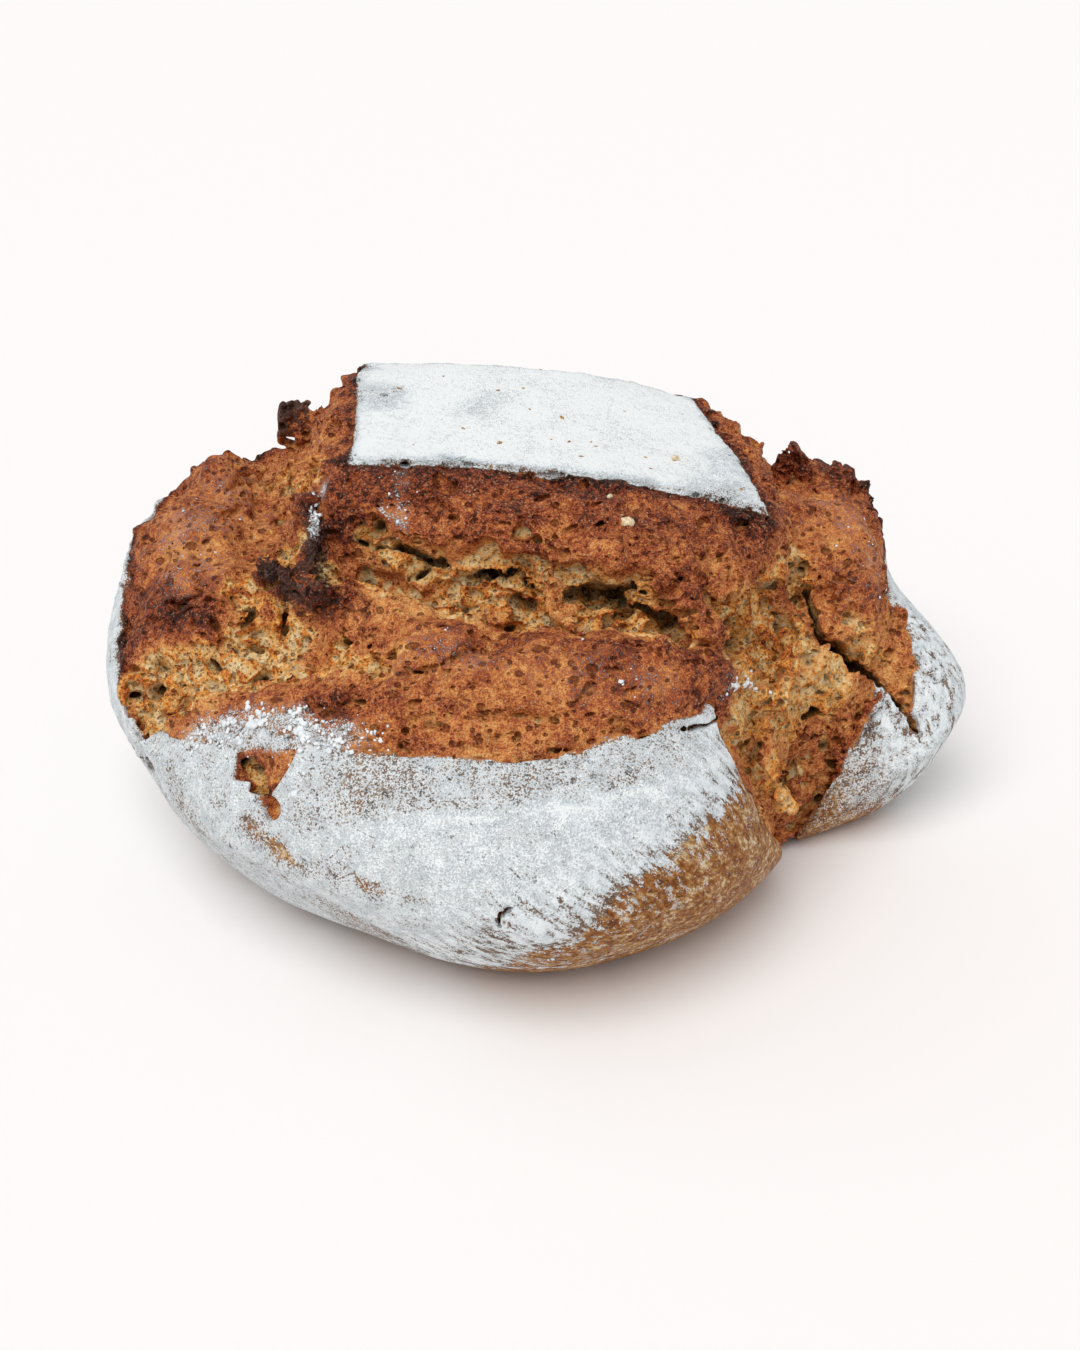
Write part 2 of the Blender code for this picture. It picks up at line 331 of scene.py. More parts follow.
class Volume:
    """Signed distances in mm on a grid: negative in the bread, positive in the air."""

    def __init__(self, points, quads, triangles):
        transform = openvdb.createLinearTransform(voxelSize=VOXEL)
        level_set = openvdb.FloatGrid.createLevelSetFromPolygons(
            points.astype(np.float32), triangles=triangles.astype(np.uint32),
            quads=quads.astype(np.uint32), transform=transform, halfWidth=REACH / VOXEL)
        self.low = np.floor(points.min(0) / VOXEL).astype(int) - MARGIN
        high = np.ceil(points.max(0) / VOXEL).astype(int) + MARGIN
        self.values = np.empty(high - self.low, np.float32)
        level_set.copyToArray(self.values, ijk=tuple(int(v) for v in self.low))
        self.form = self.values.copy()

    def axes(self):
        """The grid's x, y and z in mm, shaped to be combined."""
        x, y, z = (
            ((np.arange(count) + low) * VOXEL).astype(np.float32)
            for count, low in zip(self.values.shape, self.low)
        )
        return x[:, None, None], y[None, :, None], z[None, None, :]

    def spread(self, tile):
        """A repeating tile laid over the whole grid."""
        repeats = [math.ceil(count / TILE) for count in self.values.shape]
        nx, ny, nz = self.values.shape
        return np.tile(tile, repeats)[:nx, :ny, :nz]

    def window(self, centre, reach):
        """The part of the grid near a point: its slices and its coordinates from that point."""
        start = np.floor((np.subtract(centre, reach)) / VOXEL).astype(int) - self.low
        stop = np.ceil((np.add(centre, reach)) / VOXEL).astype(int) - self.low + 1
        start = np.clip(start, 0, self.values.shape)
        stop = np.clip(stop, 0, self.values.shape)
        slices = tuple(slice(a, b) for a, b in zip(start, stop))
        offsets = [
            ((np.arange(a, b) + low) * VOXEL - middle).astype(np.float32)
            for a, b, low, middle in zip(start, stop, self.low, centre)
        ]
        return slices, (offsets[0][:, None, None], offsets[1][None, :, None], offsets[2][None, None, :])

    def blob(self, centre, radii, directions=None, rough=0.0, carve=True):
        """Carve out, or build on, an ellipsoid with a rough surface."""
        slices, (x, y, z) = self.window(centre, max(radii) * (1 + 1.5 * rough) + VOXEL)
        if 0 in self.values[slices].shape:
            return
        if directions is None:
            parts = (x / radii[0], y / radii[1], z / radii[2])
        else:
            parts = [(x * d[0] + y * d[1] + z * d[2]) / r for d, r in zip(directions, radii)]
        distance = np.sqrt(parts[0] ** 2 + parts[1] ** 2 + parts[2] ** 2) - 1
        if rough:
            distance = distance + rough * self.rough[slices]
        distance *= min(radii)
        near = self.values[slices]
        if carve:
            np.maximum(near, -distance, out=near)
        else:
            np.minimum(near, distance, out=near)

    def read(self, grid, points):
        """Values of a grid at points, from its eight nearest places."""
        place = points / VOXEL - self.low
        index = np.clip(np.floor(place).astype(int), 0, np.subtract(grid.shape, 2))
        part = (place - index).astype(np.float32)
        total = 0.0
        for corner in range(8):
            step = np.array([corner & 1, corner >> 1 & 1, corner >> 2])
            weight = np.prod(np.where(step, part, 1 - part), axis=1)
            cell = index + step
            total = total + weight * grid[cell[:, 0], cell[:, 1], cell[:, 2]]
        return total

    def slope(self, points):
        """Outward directions of the surface near points."""
        steps = np.eye(3) * 1.2
        change = [self.read(self.values, points + step) - self.read(self.values, points - step) for step in steps]
        change = np.stack(change, -1)
        return change / np.maximum(np.linalg.norm(change, axis=1, keepdims=True), 1e-6)

    def settled(self, points):
        """Points moved to the surface nearest to them, and its outward directions there."""
        points = np.array(points, float)
        for _ in range(6):
            points = points - 0.8 * self.read(self.values, points)[:, None] * self.slope(points)
        return points, self.slope(points)

    def mesh(self):
        """The surface as points, triangles and four-sided faces."""
        grid = openvdb.FloatGrid(3.0)
        grid.gridClass = openvdb.GridClass.LEVEL_SET
        grid.transform = openvdb.createLinearTransform(voxelSize=VOXEL)
        grid.copyFromArray(np.clip(self.values, -3, 3), ijk=tuple(int(v) for v in self.low))
        points, triangles, quads = grid.convertToPolygons(adaptivity=ADAPTIVITY)
        return points.astype(np.float64), triangles.astype(np.int32), quads.astype(np.int32)


# ---------------------------------------------------------------------------------------------
# Zones of the loaf
# ---------------------------------------------------------------------------------------------
def plan_angle(x, y):
    """Direction of a place in plan from the middle, in degrees from 0 to 360."""
    return np.degrees(np.arctan2(y, x)) % 360


def lip_reach(x, y):
    """Radius and height of the ring where the burst band ends, in the direction of each place."""
    angle = np.arctan2(y, x) % math.tau
    ring_points = ring("lip", np.ravel(angle), (0, 0), LIP_RADII, LIP_HEIGHTS)
    radius = np.hypot(ring_points[:, 0], ring_points[:, 1])
    return radius.reshape(np.shape(angle)), ring_points[:, 2].reshape(np.shape(angle))


def lip_inset(x, y):
    """How far a place in plan lies inside the ring where the burst band ends."""
    return lip_reach(x, y)[0] - np.hypot(x, y)


def lobe_share(x, y):
    """How far a place in plan lies in the directions of the small lobe, from 0 to 1."""
    angle = plan_angle(x, y)
    start, started, ending, end = LOBE_DIRECTIONS
    return smooth(angle, start, started) * (1 - smooth(angle, ending, end))


def lobe_side(x, y, z):
    """Distance past the edge of the small lobe, towards its floured side."""
    offsets = (x - LOBE_EDGE[0], y - LOBE_EDGE[1], z - LOBE_EDGE[2])
    return sum(offset * across for offset, across in zip(offsets, LOBE_ACROSS))


def zones(x, y, z):
    """How far each point belongs to the lid and to the burst band, from 0 to 1."""
    directions, heights = zip(*CRUST_LINE)
    line = np.interp(plan_angle(x, y), directions, heights, period=360)
    lid = smooth(-lid_distance(x, y), -0.4, 0.6) * smooth(z - lid_height(x, y), -6, -4)
    lobe = lobe_share(x, y)
    over = np.interp(plan_angle(x, y), *zip(*CRUST_OVER_LIP))
    lip_radius, lip_height = lip_reach(x, y)
    inset = lip_radius - np.hypot(x, y)
    inside = smooth(inset - over, 0.2, 1.6) * smooth(z - 0.7 * lip_height, -3, 3) * (1 - lobe)
    tip = smooth(-x, -106, -104.6) * smooth(x, 84, 86) * smooth(y, -22, -20) * smooth(-y, -8, -6)
    tip = tip * smooth(z - TIP_LOW + TIP_FALL * (x - 86), -0.7, 0.7)
    above = (1 - lobe) * smooth(z - line, -0.7, 0.7) + lobe * smooth(-lobe_side(x, y, z), -0.7, 0.7)
    band = np.maximum(np.maximum(above, inside), tip) * (1 - lid)
    return lid, band


# Wide tears, cut before the small roughness: run, half-length down the slope and half-depth.
TRENCHES = (
    (((-46, -31, 93), (-38, -34.5, 91.5)), 7.0, 3.8),
    (((-38, -36, 91), (-24, -40, 89.8), (-12, -43, 88.8)), 8.6, 5.4),
    (((-12, -44, 88.4), (2, -47, 87), (14, -48.5, 86)), 8.2, 6.0),
    (((14, -48.5, 86), (24, -49, 85.2), (34, -49, 83.8)), 8.2, 6.0),
    (((34, -48, 84), (42, -46, 81)), 6.5, 4.2),
    (((47, -43, 77), (55, -36, 76), (62, -29, 76)), 8.0, 5.0),
)
DOWN_SLOPE = ((0.0, -0.88, -0.47), (1.0, 0.0, 0.0), (0.0, 0.47, -0.88))

# Crumb laid bare by the tearing: start, end, half-width and how bare it is.
CRUMB_PATCHES = (
    ((-45, -31, 91), (-34, -36, 87), 6.5, 1.0),
    ((-34, -39, 85), (-12, -43, 83.5), 7.5, 1.0),
    ((-12, -44, 83), (14, -48, 81.5), 7.0, 1.0),
    ((14, -49, 81.5), (34, -50, 80), 6.0, 1.0),
    ((34, -48, 82), (46, -44, 79), 4.5, 0.9),
    ((-80, -25, 78), (-77, -36, 75), 4.5, 0.9),
    ((-104, -38, 56), (-92, -44, 60), 8, 1.0),
    ((-92, -44, 60), (-74, -50, 68), 8.5, 1.0),
    ((-78, -38, 73), (-64, -46, 74), 6.5, 1.0),
    ((-74, -52, 69), (-54, -58, 75), 6.5, 1.0),
    ((-54, -58, 75), (-38, -70, 79), 3.5, 0.9),
    ((-108, -38, 50), (-104, -46, 48), 6, 1.0),
    ((-70, -23, 88), (-67, -24, 88), 5.5, 1.0),
    ((-56, -34, 88), (-46, -30, 91), 4.0, 0.9),
    ((48, -41, 75), (62, -29, 73), 7.5, 1.0),
    ((58, -28, 76), (66, -18, 77), 4.5, 1.0),
    ((69, -6, 76), (74, -9, 70), 4.0, 0.9),
    ((52, -52, 58), (72, -24, 64), 10, 0.6),
    ((62, -58, 36), (80, -26, 48), 9, 0.6),
    ((-62, -2, 99), (-70, 14, 95), 5.5, 0.8),
    ((-72, 18, 92), (-78, 40, 84), 5, 0.6),
    ((78, -8, 62), (104, -13, 40), 3.0, 0.7),
)

# Crust that still covers the crumb on a bridge or lump: start, end, radius and share.
CRUSTED = (
    ((4, -45, 88), (11, -57, 82), 3.2, 1.0),
    ((33, -42, 88), (50, -35, 85), 4.6, 1.0),
    ((38, -45, 83), (44, -48, 76), 4.6, 1.0),
)

# Parts of the burst crust that browned more, or less: start, end, half-width and change.
BROWNED = (
    ((-45, -14, 103), (52, -20, 96), 10, 0.16),
    ((0, -62, 79), (36, -66, 77), 7, 0.22),
    ((-22, -58, 81), (-5, -60, 80), 5, 0.10),
    ((46, -60, 69), (60, -44, 62), 6, 0.20),
    ((-50, -84, 66), (20, -88, 70), 6, -0.05),
    ((-38, -50, 85), (10, -52, 82), 5, -0.10),
    ((-88, -36, 72), (-84, -42, 69), 4, 0.30),
    ((-112, -12, 66), (-100, -26, 72), 7, 0.28),
    ((97, -15, 40), (75, -33, 9), 1.2, 0.25),
    ((52, -45, 62), (76, -28, 60), 10, -0.12),
    ((66, -50, 45), (80, -26, 45), 9, -0.14),
    ((-30, -52, 84), (10, -58, 82), 5, -0.14),
    ((-56, -72, 70), (-50, -78, 69), 4, 0.20),
    ((56, -14, 92), (60, -10, 90), 5, 0.15),
    ((38, -42, 86), (44, -46, 79), 5, 0.12),
    ((-76, -76, 57), (-64, -86, 50), 4, 0.16),
    ((3, -45, 88), (10, -56, 82), 3, 0.08),
    ((76, 49, 85), (100, 44, 80), 5, 0.22),
    ((-78, 20, 90), (-72, -4, 92), 6, -0.12),
    ((74, -22, 50), (60, -64, 25), 6, -0.12),
)

# Ragged lumps and ridges built onto the band: run, radius and roughness.
RIDGES = (
    (((-62, -16, 97), (-60, -22, 93), (-58, -30, 88), (-58, -37, 84)), 3.2, 0.35),
    (((-73, -24, 83), (-70, -30, 83), (-66, -34, 83)), 2.4, 0.4),
    (((-66, -36, 82), (-56, -41, 84), (-47, -46, 83)), 2.8, 0.3),
    (((1, -41, 90), (4, -45, 87.5), (7, -51, 84.5), (11, -57, 81.5)), 3.1, 0.3),
    (((31, -43, 88), (37, -43.5, 87), (43, -42, 85), (49, -38, 84), (54, -32, 84)), 4.0, 0.3),
    (((37, -47, 84), (41, -49, 80), (44, -50, 76)), 3.8, 0.35),
    (((44, -42, 82), (49, -38, 80)), 3.2, 0.35),
    (((28, -68, 83), (31, -64, 84), (34, -60, 85)), 1.2, 0.4),
    (((-90, -22, 77), (-85, -28, 73), (-81, -34, 70)), 2.0, 0.4),
    (((-82, -34, 70), (-80, -42, 67)), 1.6, 0.4),
    (((-70, -42, 74), (-68, -52, 70)), 1.5, 0.4),
    (((-96, -40, 62), (-92, -50, 58)), 1.4, 0.4),
    (((-106, -38, 56), (-105, -46, 49)), 1.1, 0.4),
    (((66, -30, 66), (64, -38, 60), (60, -46, 52)), 2.4, 0.4),
    (((57, -54, 50), (60, -60, 41), (64, -64, 31)), 2.0, 0.4),
    (((96, -15, 39), (92, -19, 34), (88, -23, 28), (84, -26, 22), (80, -30, 16), (75, -33, 9)), 1.3, 0.1),
    (((18, 53, 107), (20, 53, 107)), 1.6, 0.3),
    (((43, 52, 101), (45, 52, 100)), 1.5, 0.3),
    (((-53, 51, 112), (-53, 50, 112)), 1.3, 0.4),
)

# Torn flaps that stand up from the band: run of their top edge, how far down they reach, half-thickness.
FLAPS = (
    (((-77, 53, 97), (-75, 53, 100), (-70, 53, 101), (-64, 52, 99), (-59, 52, 101), (-54, 51, 108)), 9, 4.0),
    (((-75, 53, 92), (-66, 52, 94), (-58, 51, 96)), 8, 6.0),
    (((-99, 41, 84), (-95, 41, 86), (-92, 41, 88), (-88, 41, 87), (-82, 41, 85)), 5, 1.8),
    (((-91, 40, 90), (-90, 40, 90)), 3, 0.8),
    (((74, 49, 84), (77, 49, 89), (79, 48, 88), (82, 48, 85), (92, 47, 83), (98, 46, 80)), 8, 3.0),
    (((56, 48, 92), (62, 48, 89), (67, 48, 87)), 7, 3.0),
)

# Cracks and slits: run, half-width, depth, and the way they go in.
CRACKS = (
    (((-46, -29, 94), (-38, -32, 92), (-30, -35, 91), (-22, -37, 90)), 1.3, 5.0, (0.0, 0.9, -0.43)),
    (((-17, -39, 89), (-8, -41, 88.5), (-3, -43, 88)), 1.7, 6.5, (0.0, 0.9, -0.43)),
    (((7, -45, 88), (16, -46, 87.5), (28, -46, 87)), 1.4, 5.5, (0.0, 0.9, -0.43)),
    (((-12, -44, 86), (-2, -46, 84.5), (1, -46, 84)), 1.5, 7.0, (0.1, 1.0, -0.15)),
    (((10, -49, 83.5), (18, -50, 82.5), (27, -50, 80.5)), 1.7, 8.0, (0.0, 1.0, -0.15)),
    (((26, -50, 80), (32, -50, 78), (36, -49, 76)), 1.2, 7.0, (0.0, 1.0, -0.15)),
    (((75, -9, 68), (77, -13, 61), (81, -17, 57)), 1.5, 9.0, (-0.2, 0.9, -0.35)),
    (((81, -17, 57), (85, -17, 52), (91, -15, 47), (96, -14, 43)), 1.9, 10.0, (-0.2, 0.9, -0.35)),
    (((96, -14, 43), (100, -15, 39), (103, -16, 35), (107, -19, 29)), 1.1, 8.0, (-0.2, 0.9, -0.35)),
    (((72, -35, 24), (69, -38, 14)), 1.2, 5.0, (-0.4, 0.8, 0.0)),
    (((-105, -37, 56), (-105, -41, 51), (-103, -47, 47)), 1.3, 6.0, (0.6, 0.7, 0.1)),
    (((-111, -38, 49), (-110, -43, 44)), 0.8, 5.0, (0.7, 0.6, 0.1)),
    (((-34, -74, 80), (-27, -76, 81), (-13, -70, 84)), 0.6, 2.0, (0.0, 0.8, -0.5)),
    (((32, -81, 67), (36, -79, 66), (41, -76, 65), (44, -74, 65)), 0.8, 4.0, (0.0, 0.9, -0.3)),
    (((-9, -115, 33), (-10, -114, 36), (-8, -114, 38), (-5, -114, 40)), 0.6, 2.5, (0.0, 1.0, 0.0)),
    (((-91, -24, 77), (-96, -25, 74), (-101, -22, 73)), 0.8, 3.0, (0.5, 0.5, -0.4)),
    (((17, -97, 60), (19, -97, 59), (20, -96, 61)), 0.4, 1.2, (0.0, 1.0, 0.0)),
    (((-26, -8, 108), (-22, -9, 108), (-20, -7, 108)), 0.6, 1.5, (0.0, 0.0, -1.0)),
)

# Holes in the band: place, half-width, half-height and depth.
HOLES = (
    ((-72, -80, 58), 4.6, 3.0, 3.6),
    ((-70, -82, 56), 4.6, 3.6, 4.4),
    ((-68, -85, 53), 3.2, 3.8, 4.4),
    ((-65, -88, 49), 2.0, 3.4, 4),
    ((-32, -34, 85), 4.2, 2.5, 8),
    ((-18, -39, 87), 2.4, 1.5, 4),
    ((-8, -41, 88), 3.3, 1.9, 6),
    ((-3, -44, 85), 3.8, 1.0, 6),
    ((-3, -45, 82), 3.6, 1.7, 2.5),
    ((8, -47, 85), 2.4, 1.9, 7),
    ((14, -49, 84), 3.3, 1.7, 8),
    ((22, -50, 82), 3.6, 1.9, 7),
    ((33, -51, 77), 2.0, 2.6, 5),
    ((6, -42, 91), 4.0, 2.0, 4.5),
    ((35, -41, 89), 3.7, 2.5, 5),
    ((24, -48, 86), 4.5, 1.9, 4),
    ((-42, -26, 96), 2.4, 2.5, 5),
    ((-37, -29, 93), 2.7, 1.8, 4.5),
    ((-36, -31, 91), 2.8, 1.6, 4),
    ((-46, -26, 93), 3.4, 2.8, 4),
    ((-5, -33, 97), 2.8, 2.4, 4),
    ((-1, -36, 96), 1.5, 1.2, 3),
    ((15, -31, 98), 1.2, 0.8, 2.5),
    ((0, -23, 101), 2.2, 0.9, 2),
    ((3, -18, 102), 2.0, 1.1, 2),
    ((55, -16, 91), 3.0, 2.3, 5),
    ((-63, -1, 100), 2.5, 3.0, 4),
    ((-93, -20, 79), 1.4, 1.4, 3),
    ((-106, 0, 79), 1.0, 2.1, 2.5),
    ((-69, -22, 89), 5.4, 5.6, 3.5),
    ((-65, -21, 94), 1.6, 1.1, 4),
    ((-67, -42, 75), 1.2, 3.2, 4),
    ((-74, -46, 70), 2.7, 1.0, 4),
    ((-77, -36, 74), 1.0, 1.0, 2.5),
    ((-85, -36, 72), 1.8, 1.5, 2.5),
    ((-84, -46, 66), 2.8, 2.6, 6),
    ((-72, -57, 68), 1.6, 1.3, 2.5),
    ((-69, -58, 69), 1.4, 1.2, 3),
    ((-71, -54, 69), 1.3, 0.9, 2.5),
    ((-101, -37, 59), 1.2, 2.2, 3),
    ((-96, -43, 59), 2.1, 2.2, 3),
    ((-93, -50, 56), 1.7, 1.3, 2.5),
    ((-108, -34, 56), 1.2, 1.5, 2),
    ((-93, -29, 74), 0.9, 0.9, 2),
    ((-103, -27, 67), 1.6, 1.8, 1.5),
    ((-50, -54, 77), 2.0, 1.5, 3),
    ((-43, -60, 79), 1.5, 1.3, 2.5),
    ((-36, -70, 80), 2.0, 1.4, 3),
    ((-30, -81, 75), 2.6, 1.3, 2.2),
    ((-51, -77, 70), 2.4, 1.2, 2),
    ((-44, -78, 73), 2.5, 0.8, 2),
    ((-38, -80, 73), 1.5, 1.0, 1.8),
    ((-28, -85, 73), 3.2, 1.2, 2),
    ((-31, -86, 71), 2.2, 1.1, 1.8),
    ((-31, -89, 67), 2.2, 0.9, 1.6),
    ((-40, -86, 67), 1.8, 0.9, 1.6),
    ((-11, -90, 70), 1.7, 0.9, 1.6),
    ((-12, -86, 75), 3.4, 1.0, 2),
    ((-9, -88, 74), 1.3, 0.9, 1.6),
    ((0, -87, 74), 5.6, 1.8, 2.4),
    ((18, -85, 71), 2.0, 0.8, 2),
    ((-24, -87, 72), 2.7, 0.9, 1.6),
    ((-45, -84, 67), 2.0, 1.6, 1.8),
    ((81, 23, 86), 1.0, 1.4, 2.5),
    ((73, 21, 87), 0.9, 0.8, 2),
    ((64, -22, 77), 3.6, 1.9, 6),
    ((69, -6, 74), 2.8, 2.0, 4),
    ((71, -11, 69), 2.0, 1.6, 5),
    ((74, -30, 41), 2.8, 4.4, 7),
    ((74, -31, 36), 1.2, 2.2, 8),
    ((53, -37, 69), 4.0, 3.6, 4),
    ((68, -37, 46), 2.5, 2.2, 3),
    ((71, -35, 27), 1.5, 2.7, 3),
    ((56, -57, 44), 3.0, 5.0, 3),
    ((60, -69, 36), 1.3, 1.2, 4),
    ((68, -38, 32), 2.1, 1.2, 4),
)
HOLES_INWARD = ((0.0, 0.9, -0.43), (1.0, 0.0, 0.0), (0.0, 0.43, 0.9))


def met_surface(volume, place, inward):
    """Where the bread is first met from a place in the air, going inward."""
    place = np.array(place, float)
    inward = np.array(inward) / np.linalg.norm(inward)
    path = place + np.arange(0, 16, 0.5)[:, None] * inward
    inside = volume.read(volume.values, path) < 0
    return path[inside.argmax()] if inside.any() else place


def row_of_blobs(run, spacing):
    """Places along a run of points, with each one's share of the way to the nearer end."""
    run = np.array(run, float)
    along = np.concatenate([[0], np.cumsum(np.linalg.norm(np.diff(run, axis=0), axis=1))])
    distances = np.linspace(0, along[-1], max(2, round(along[-1] / spacing)))
    places = np.stack([np.interp(distances, along, run[:, axis]) for axis in range(3)], -1)
    return places, np.minimum(distances, along[-1] - distances)


def carve_crack(volume, run, half_width, depth, inward, rng):
    """A crack along a run of points, as a row of thin hollows."""
    inward = np.array(inward) / np.linalg.norm(inward)
    side = np.cross(inward, (0.3, 0.2, 0.93))
    side /= np.linalg.norm(side)
    up = np.cross(side, inward)
    for place, to_end in zip(*row_of_blobs(run, 0.9)):
        wide = half_width * min(1.0, 0.5 + to_end / 4) * max(0.4, rng.normal(1.0, 0.25))
        deep = depth * max(0.5, rng.normal(1.0, 0.15))
        place = met_surface(volume, place - inward, inward)
        volume.blob(place + inward * deep * 0.35, (deep, wide, wide * 1.1), (inward, side, up), 0.25)


def build_ridge(volume, run, radius, rough, rng):
    """A ragged ridge along a run of points."""
    for place, _ in zip(*row_of_blobs(run, radius * 0.5)):
        size = radius * rng.uniform(0.7, 1.15)
        volume.blob(place + rng.normal(0, 0.25 * radius, 3), (size, size, size), rough=rough, carve=False)


def build_flap(volume, run, reach_down, thickness, rng):
    """A torn flap: a row of upright teeth of uneven height."""
    along = np.subtract(run[-1], run[0]) * (1, 1, 0)
    along = along / np.linalg.norm(along)
    across = (-along[1], along[0], 0.0)
    for place, _ in zip(*row_of_blobs(run, 1.3)):
        half = 0.5 * reach_down * rng.uniform(0.85, 1.15)
        middle = place + (0, rng.normal(0, 0.4), rng.normal(-half, 0.7))
        sizes = (rng.uniform(1.2, 2.0), thickness * rng.uniform(0.7, 1.1), half)
        volume.blob(middle, sizes, (along, across, (0, 0, 1)), 0.3, carve=False)


def sculpted_loaf():
    """The loaf's volume with its cracks, pores and ragged edges."""
    volume = Volume(*large_form())
    rng = np.random.default_rng(21)
    x, y, z = volume.axes()
    lid, band = zones(x, y, z)
    bare = crumb_amount(x, y)
    volume.rough = volume.spread(noise_tile((2.6, 2.6, 2.2), 11))
    carve_trenches(volume)
    grain = volume.spread(noise_tile((5.5, 5.0, 3.4), 13))
    grit = volume.spread(noise_tile((1.5, 1.5, 1.2), 14))
    gap = lid_distance(x, y)
    free = smooth(gap, -1.0, 5.0)
    edge = np.exp(-0.5 * (gap / 1.3) ** 2)
    volume.values += (0.4 + 0.4 * band * free) * 0.75 * volume.spread(noise_tile((13, 13, 11), 12))
    uneven = (0.34 - 0.14 * bare) * grain + (0.30 - 0.14 * bare) * volume.rough
    side = -lobe_side(x, y, z)
    calm = lobe_share(x, y) * (1 - smooth(side, 7, 11))
    uneven = uneven * (1 - 0.75 * calm)
    volume.values += band * (0.4 + 0.3 * free + (0.2 + 0.8 * free) * uneven)
    volume.values += band * bare * (1.5 * np.abs(grain) + 1.3 * np.abs(volume.rough) + 0.3)
    volume.values += band * (0.22 + 0.25 * bare) * grit
    volume.values += (1 - band) * 0.08 * grain + edge * smooth(z, 80, 90) * 0.18 * volume.rough
    volume.values += band * corner_recess(x, y) * smooth(-z, -67, -60)
    inset = lip_inset(x, y)
    rim = smooth(inset, -1.0, 0.3) * smooth(-inset, -4.0, -1.0) * rim_side(x, y)
    volume.values -= rim * smooth(z, 30, 40) * np.maximum(grit + 0.5 * volume.rough, 0) * 0.7
    for run, radius, rough in RIDGES:
        build_ridge(volume, run, radius, rough, rng)
    for run, reach_down, thickness in FLAPS:
        build_flap(volume, run, reach_down, thickness, rng)
    build_rubble(volume, rng)
    for place, half_width, half_height, depth in HOLES:
        place = met_surface(volume, place, HOLES_INWARD[0])
        volume.blob(place, (depth, half_width, half_height), HOLES_INWARD, 0.3)
    for run, half_width, depth, inward in CRACKS:
        carve_crack(volume, run, half_width, depth, inward, rng)
    carve_pores(volume, rng)
    return volume


def carve_trenches(volume):
    """The wide tears of the band."""
    for run, half_length, half_depth in TRENCHES:
        for place, _ in zip(*row_of_blobs(run, 2.5)):
            volume.blob(place, (half_length, 4.5, half_depth), DOWN_SLOPE, 0.12)


def build_rubble(volume, rng):
    """Small charred lumps, close together where the band is burnt."""
    for start, end, radius, strength in BURNS[:4]:
        length = math.dist(start, end)
        for _ in range(round(strength * (length + radius) * radius * 1.6)):
            place = np.add(start, np.subtract(end, start) * rng.random()) + rng.normal(0, 0.7 * radius, 3)
            if abs(volume.read(volume.values, place[None])[0]) < 1.2:
                sizes = rng.uniform(0.45, 1.3, 3)
                volume.blob(place, sizes, rough=0.4, carve=rng.random() < 0.15)


def corner_recess(x, y):
    """How deep the tear lies behind the floured crust's front right corner, in mm."""
    angle = plan_angle(x, y)
    return 2.6 * smooth(angle, 301.5, 303.5) * smooth(-angle, -322, -310)


def rim_side(x, y):
    """Where the band's rim is burnt and spiky: everywhere but along the front."""
    return smooth(np.cos(np.radians(plan_angle(x, y) - 104)), -0.25, 0.0)


def crumb_amount(x, y):
    """How bare the crumb is at a place in plan, from 0 to 1."""
    amount = 0.0
    for start, end, half_width, strength in CRUMB_PATCHES:
        near = strength * smooth(strip_distance(x, y, start[:2], end[:2]), 0.75 * half_width + 1.5,
                                 0.75 * half_width - 1.5)
        amount = np.maximum(amount, near)
    return amount


def carve_pores(volume, rng):
    """Bubbles opened by the tearing: flat and close-set in the skin, wide cells in bare crumb."""
    surface = np.argwhere(np.abs(volume.values) < 0.5 * VOXEL)
    places = (surface + volume.low) * VOXEL
    x, y, z = places.T
    _, band = zones(x, y, z)
    bare = crumb_amount(x, y)
    share = band * (0.09 + 0.24 * bare) * VOXEL ** 2
    chosen = rng.random(len(places)) < share
    for (px, py, pz), fresh in zip(places[chosen], bare[chosen]):
        size = min(3.2, math.exp(rng.normal(-0.4 + 0.35 * fresh, 0.45)))
        turn = math.atan2(py, px) + rng.normal(0, 0.3)
        along = (-math.sin(turn), math.cos(turn), 0.0)
        across = (math.cos(turn), math.sin(turn), 0.0)
        stretch = 1 + abs(rng.normal(0.6, 0.4)) * (1 - 0.6 * fresh)
        sink = rng.uniform(-0.3, 0.5) * size
        place = (px - across[0] * sink, py - across[1] * sink, pz - 0.5 * sink)
        height = 0.6 + 0.3 * fresh
        volume.blob(place, (size * stretch, size, size * height), (along, across, (0, 0, 1)), 0.25 + 0.2 * fresh)


def shaken(volume, points):
    """Points of the torn crust moved a little by smooth noise, so that no pore stays round."""
    _, band = zones(*points.T)
    band = band * smooth(lid_distance(*points.T[:2]), 0.0, 4.0)
    moved = points.copy()
    for size, wave, seed in ((0.6, 5.0, 31), (0.35, 2.4, 41)):
        for axis in range(3):
            tile = volume.spread(noise_tile((wave, wave, wave), seed + axis))
            moved[:, axis] += size * band * volume.read(tile, points)
    return moved


# ---------------------------------------------------------------------------------------------
# Materials
# ---------------------------------------------------------------------------------------------
def linear(red, green, blue):
    """A screen colour, 0 to 255, as the linear colour that shaders use."""
    def one(value):
        value /= 255
        return value / 12.92 if value <= 0.04045 else ((value + 0.055) / 1.055) ** 2.4
    return (one(red), one(green), one(blue), 1.0)


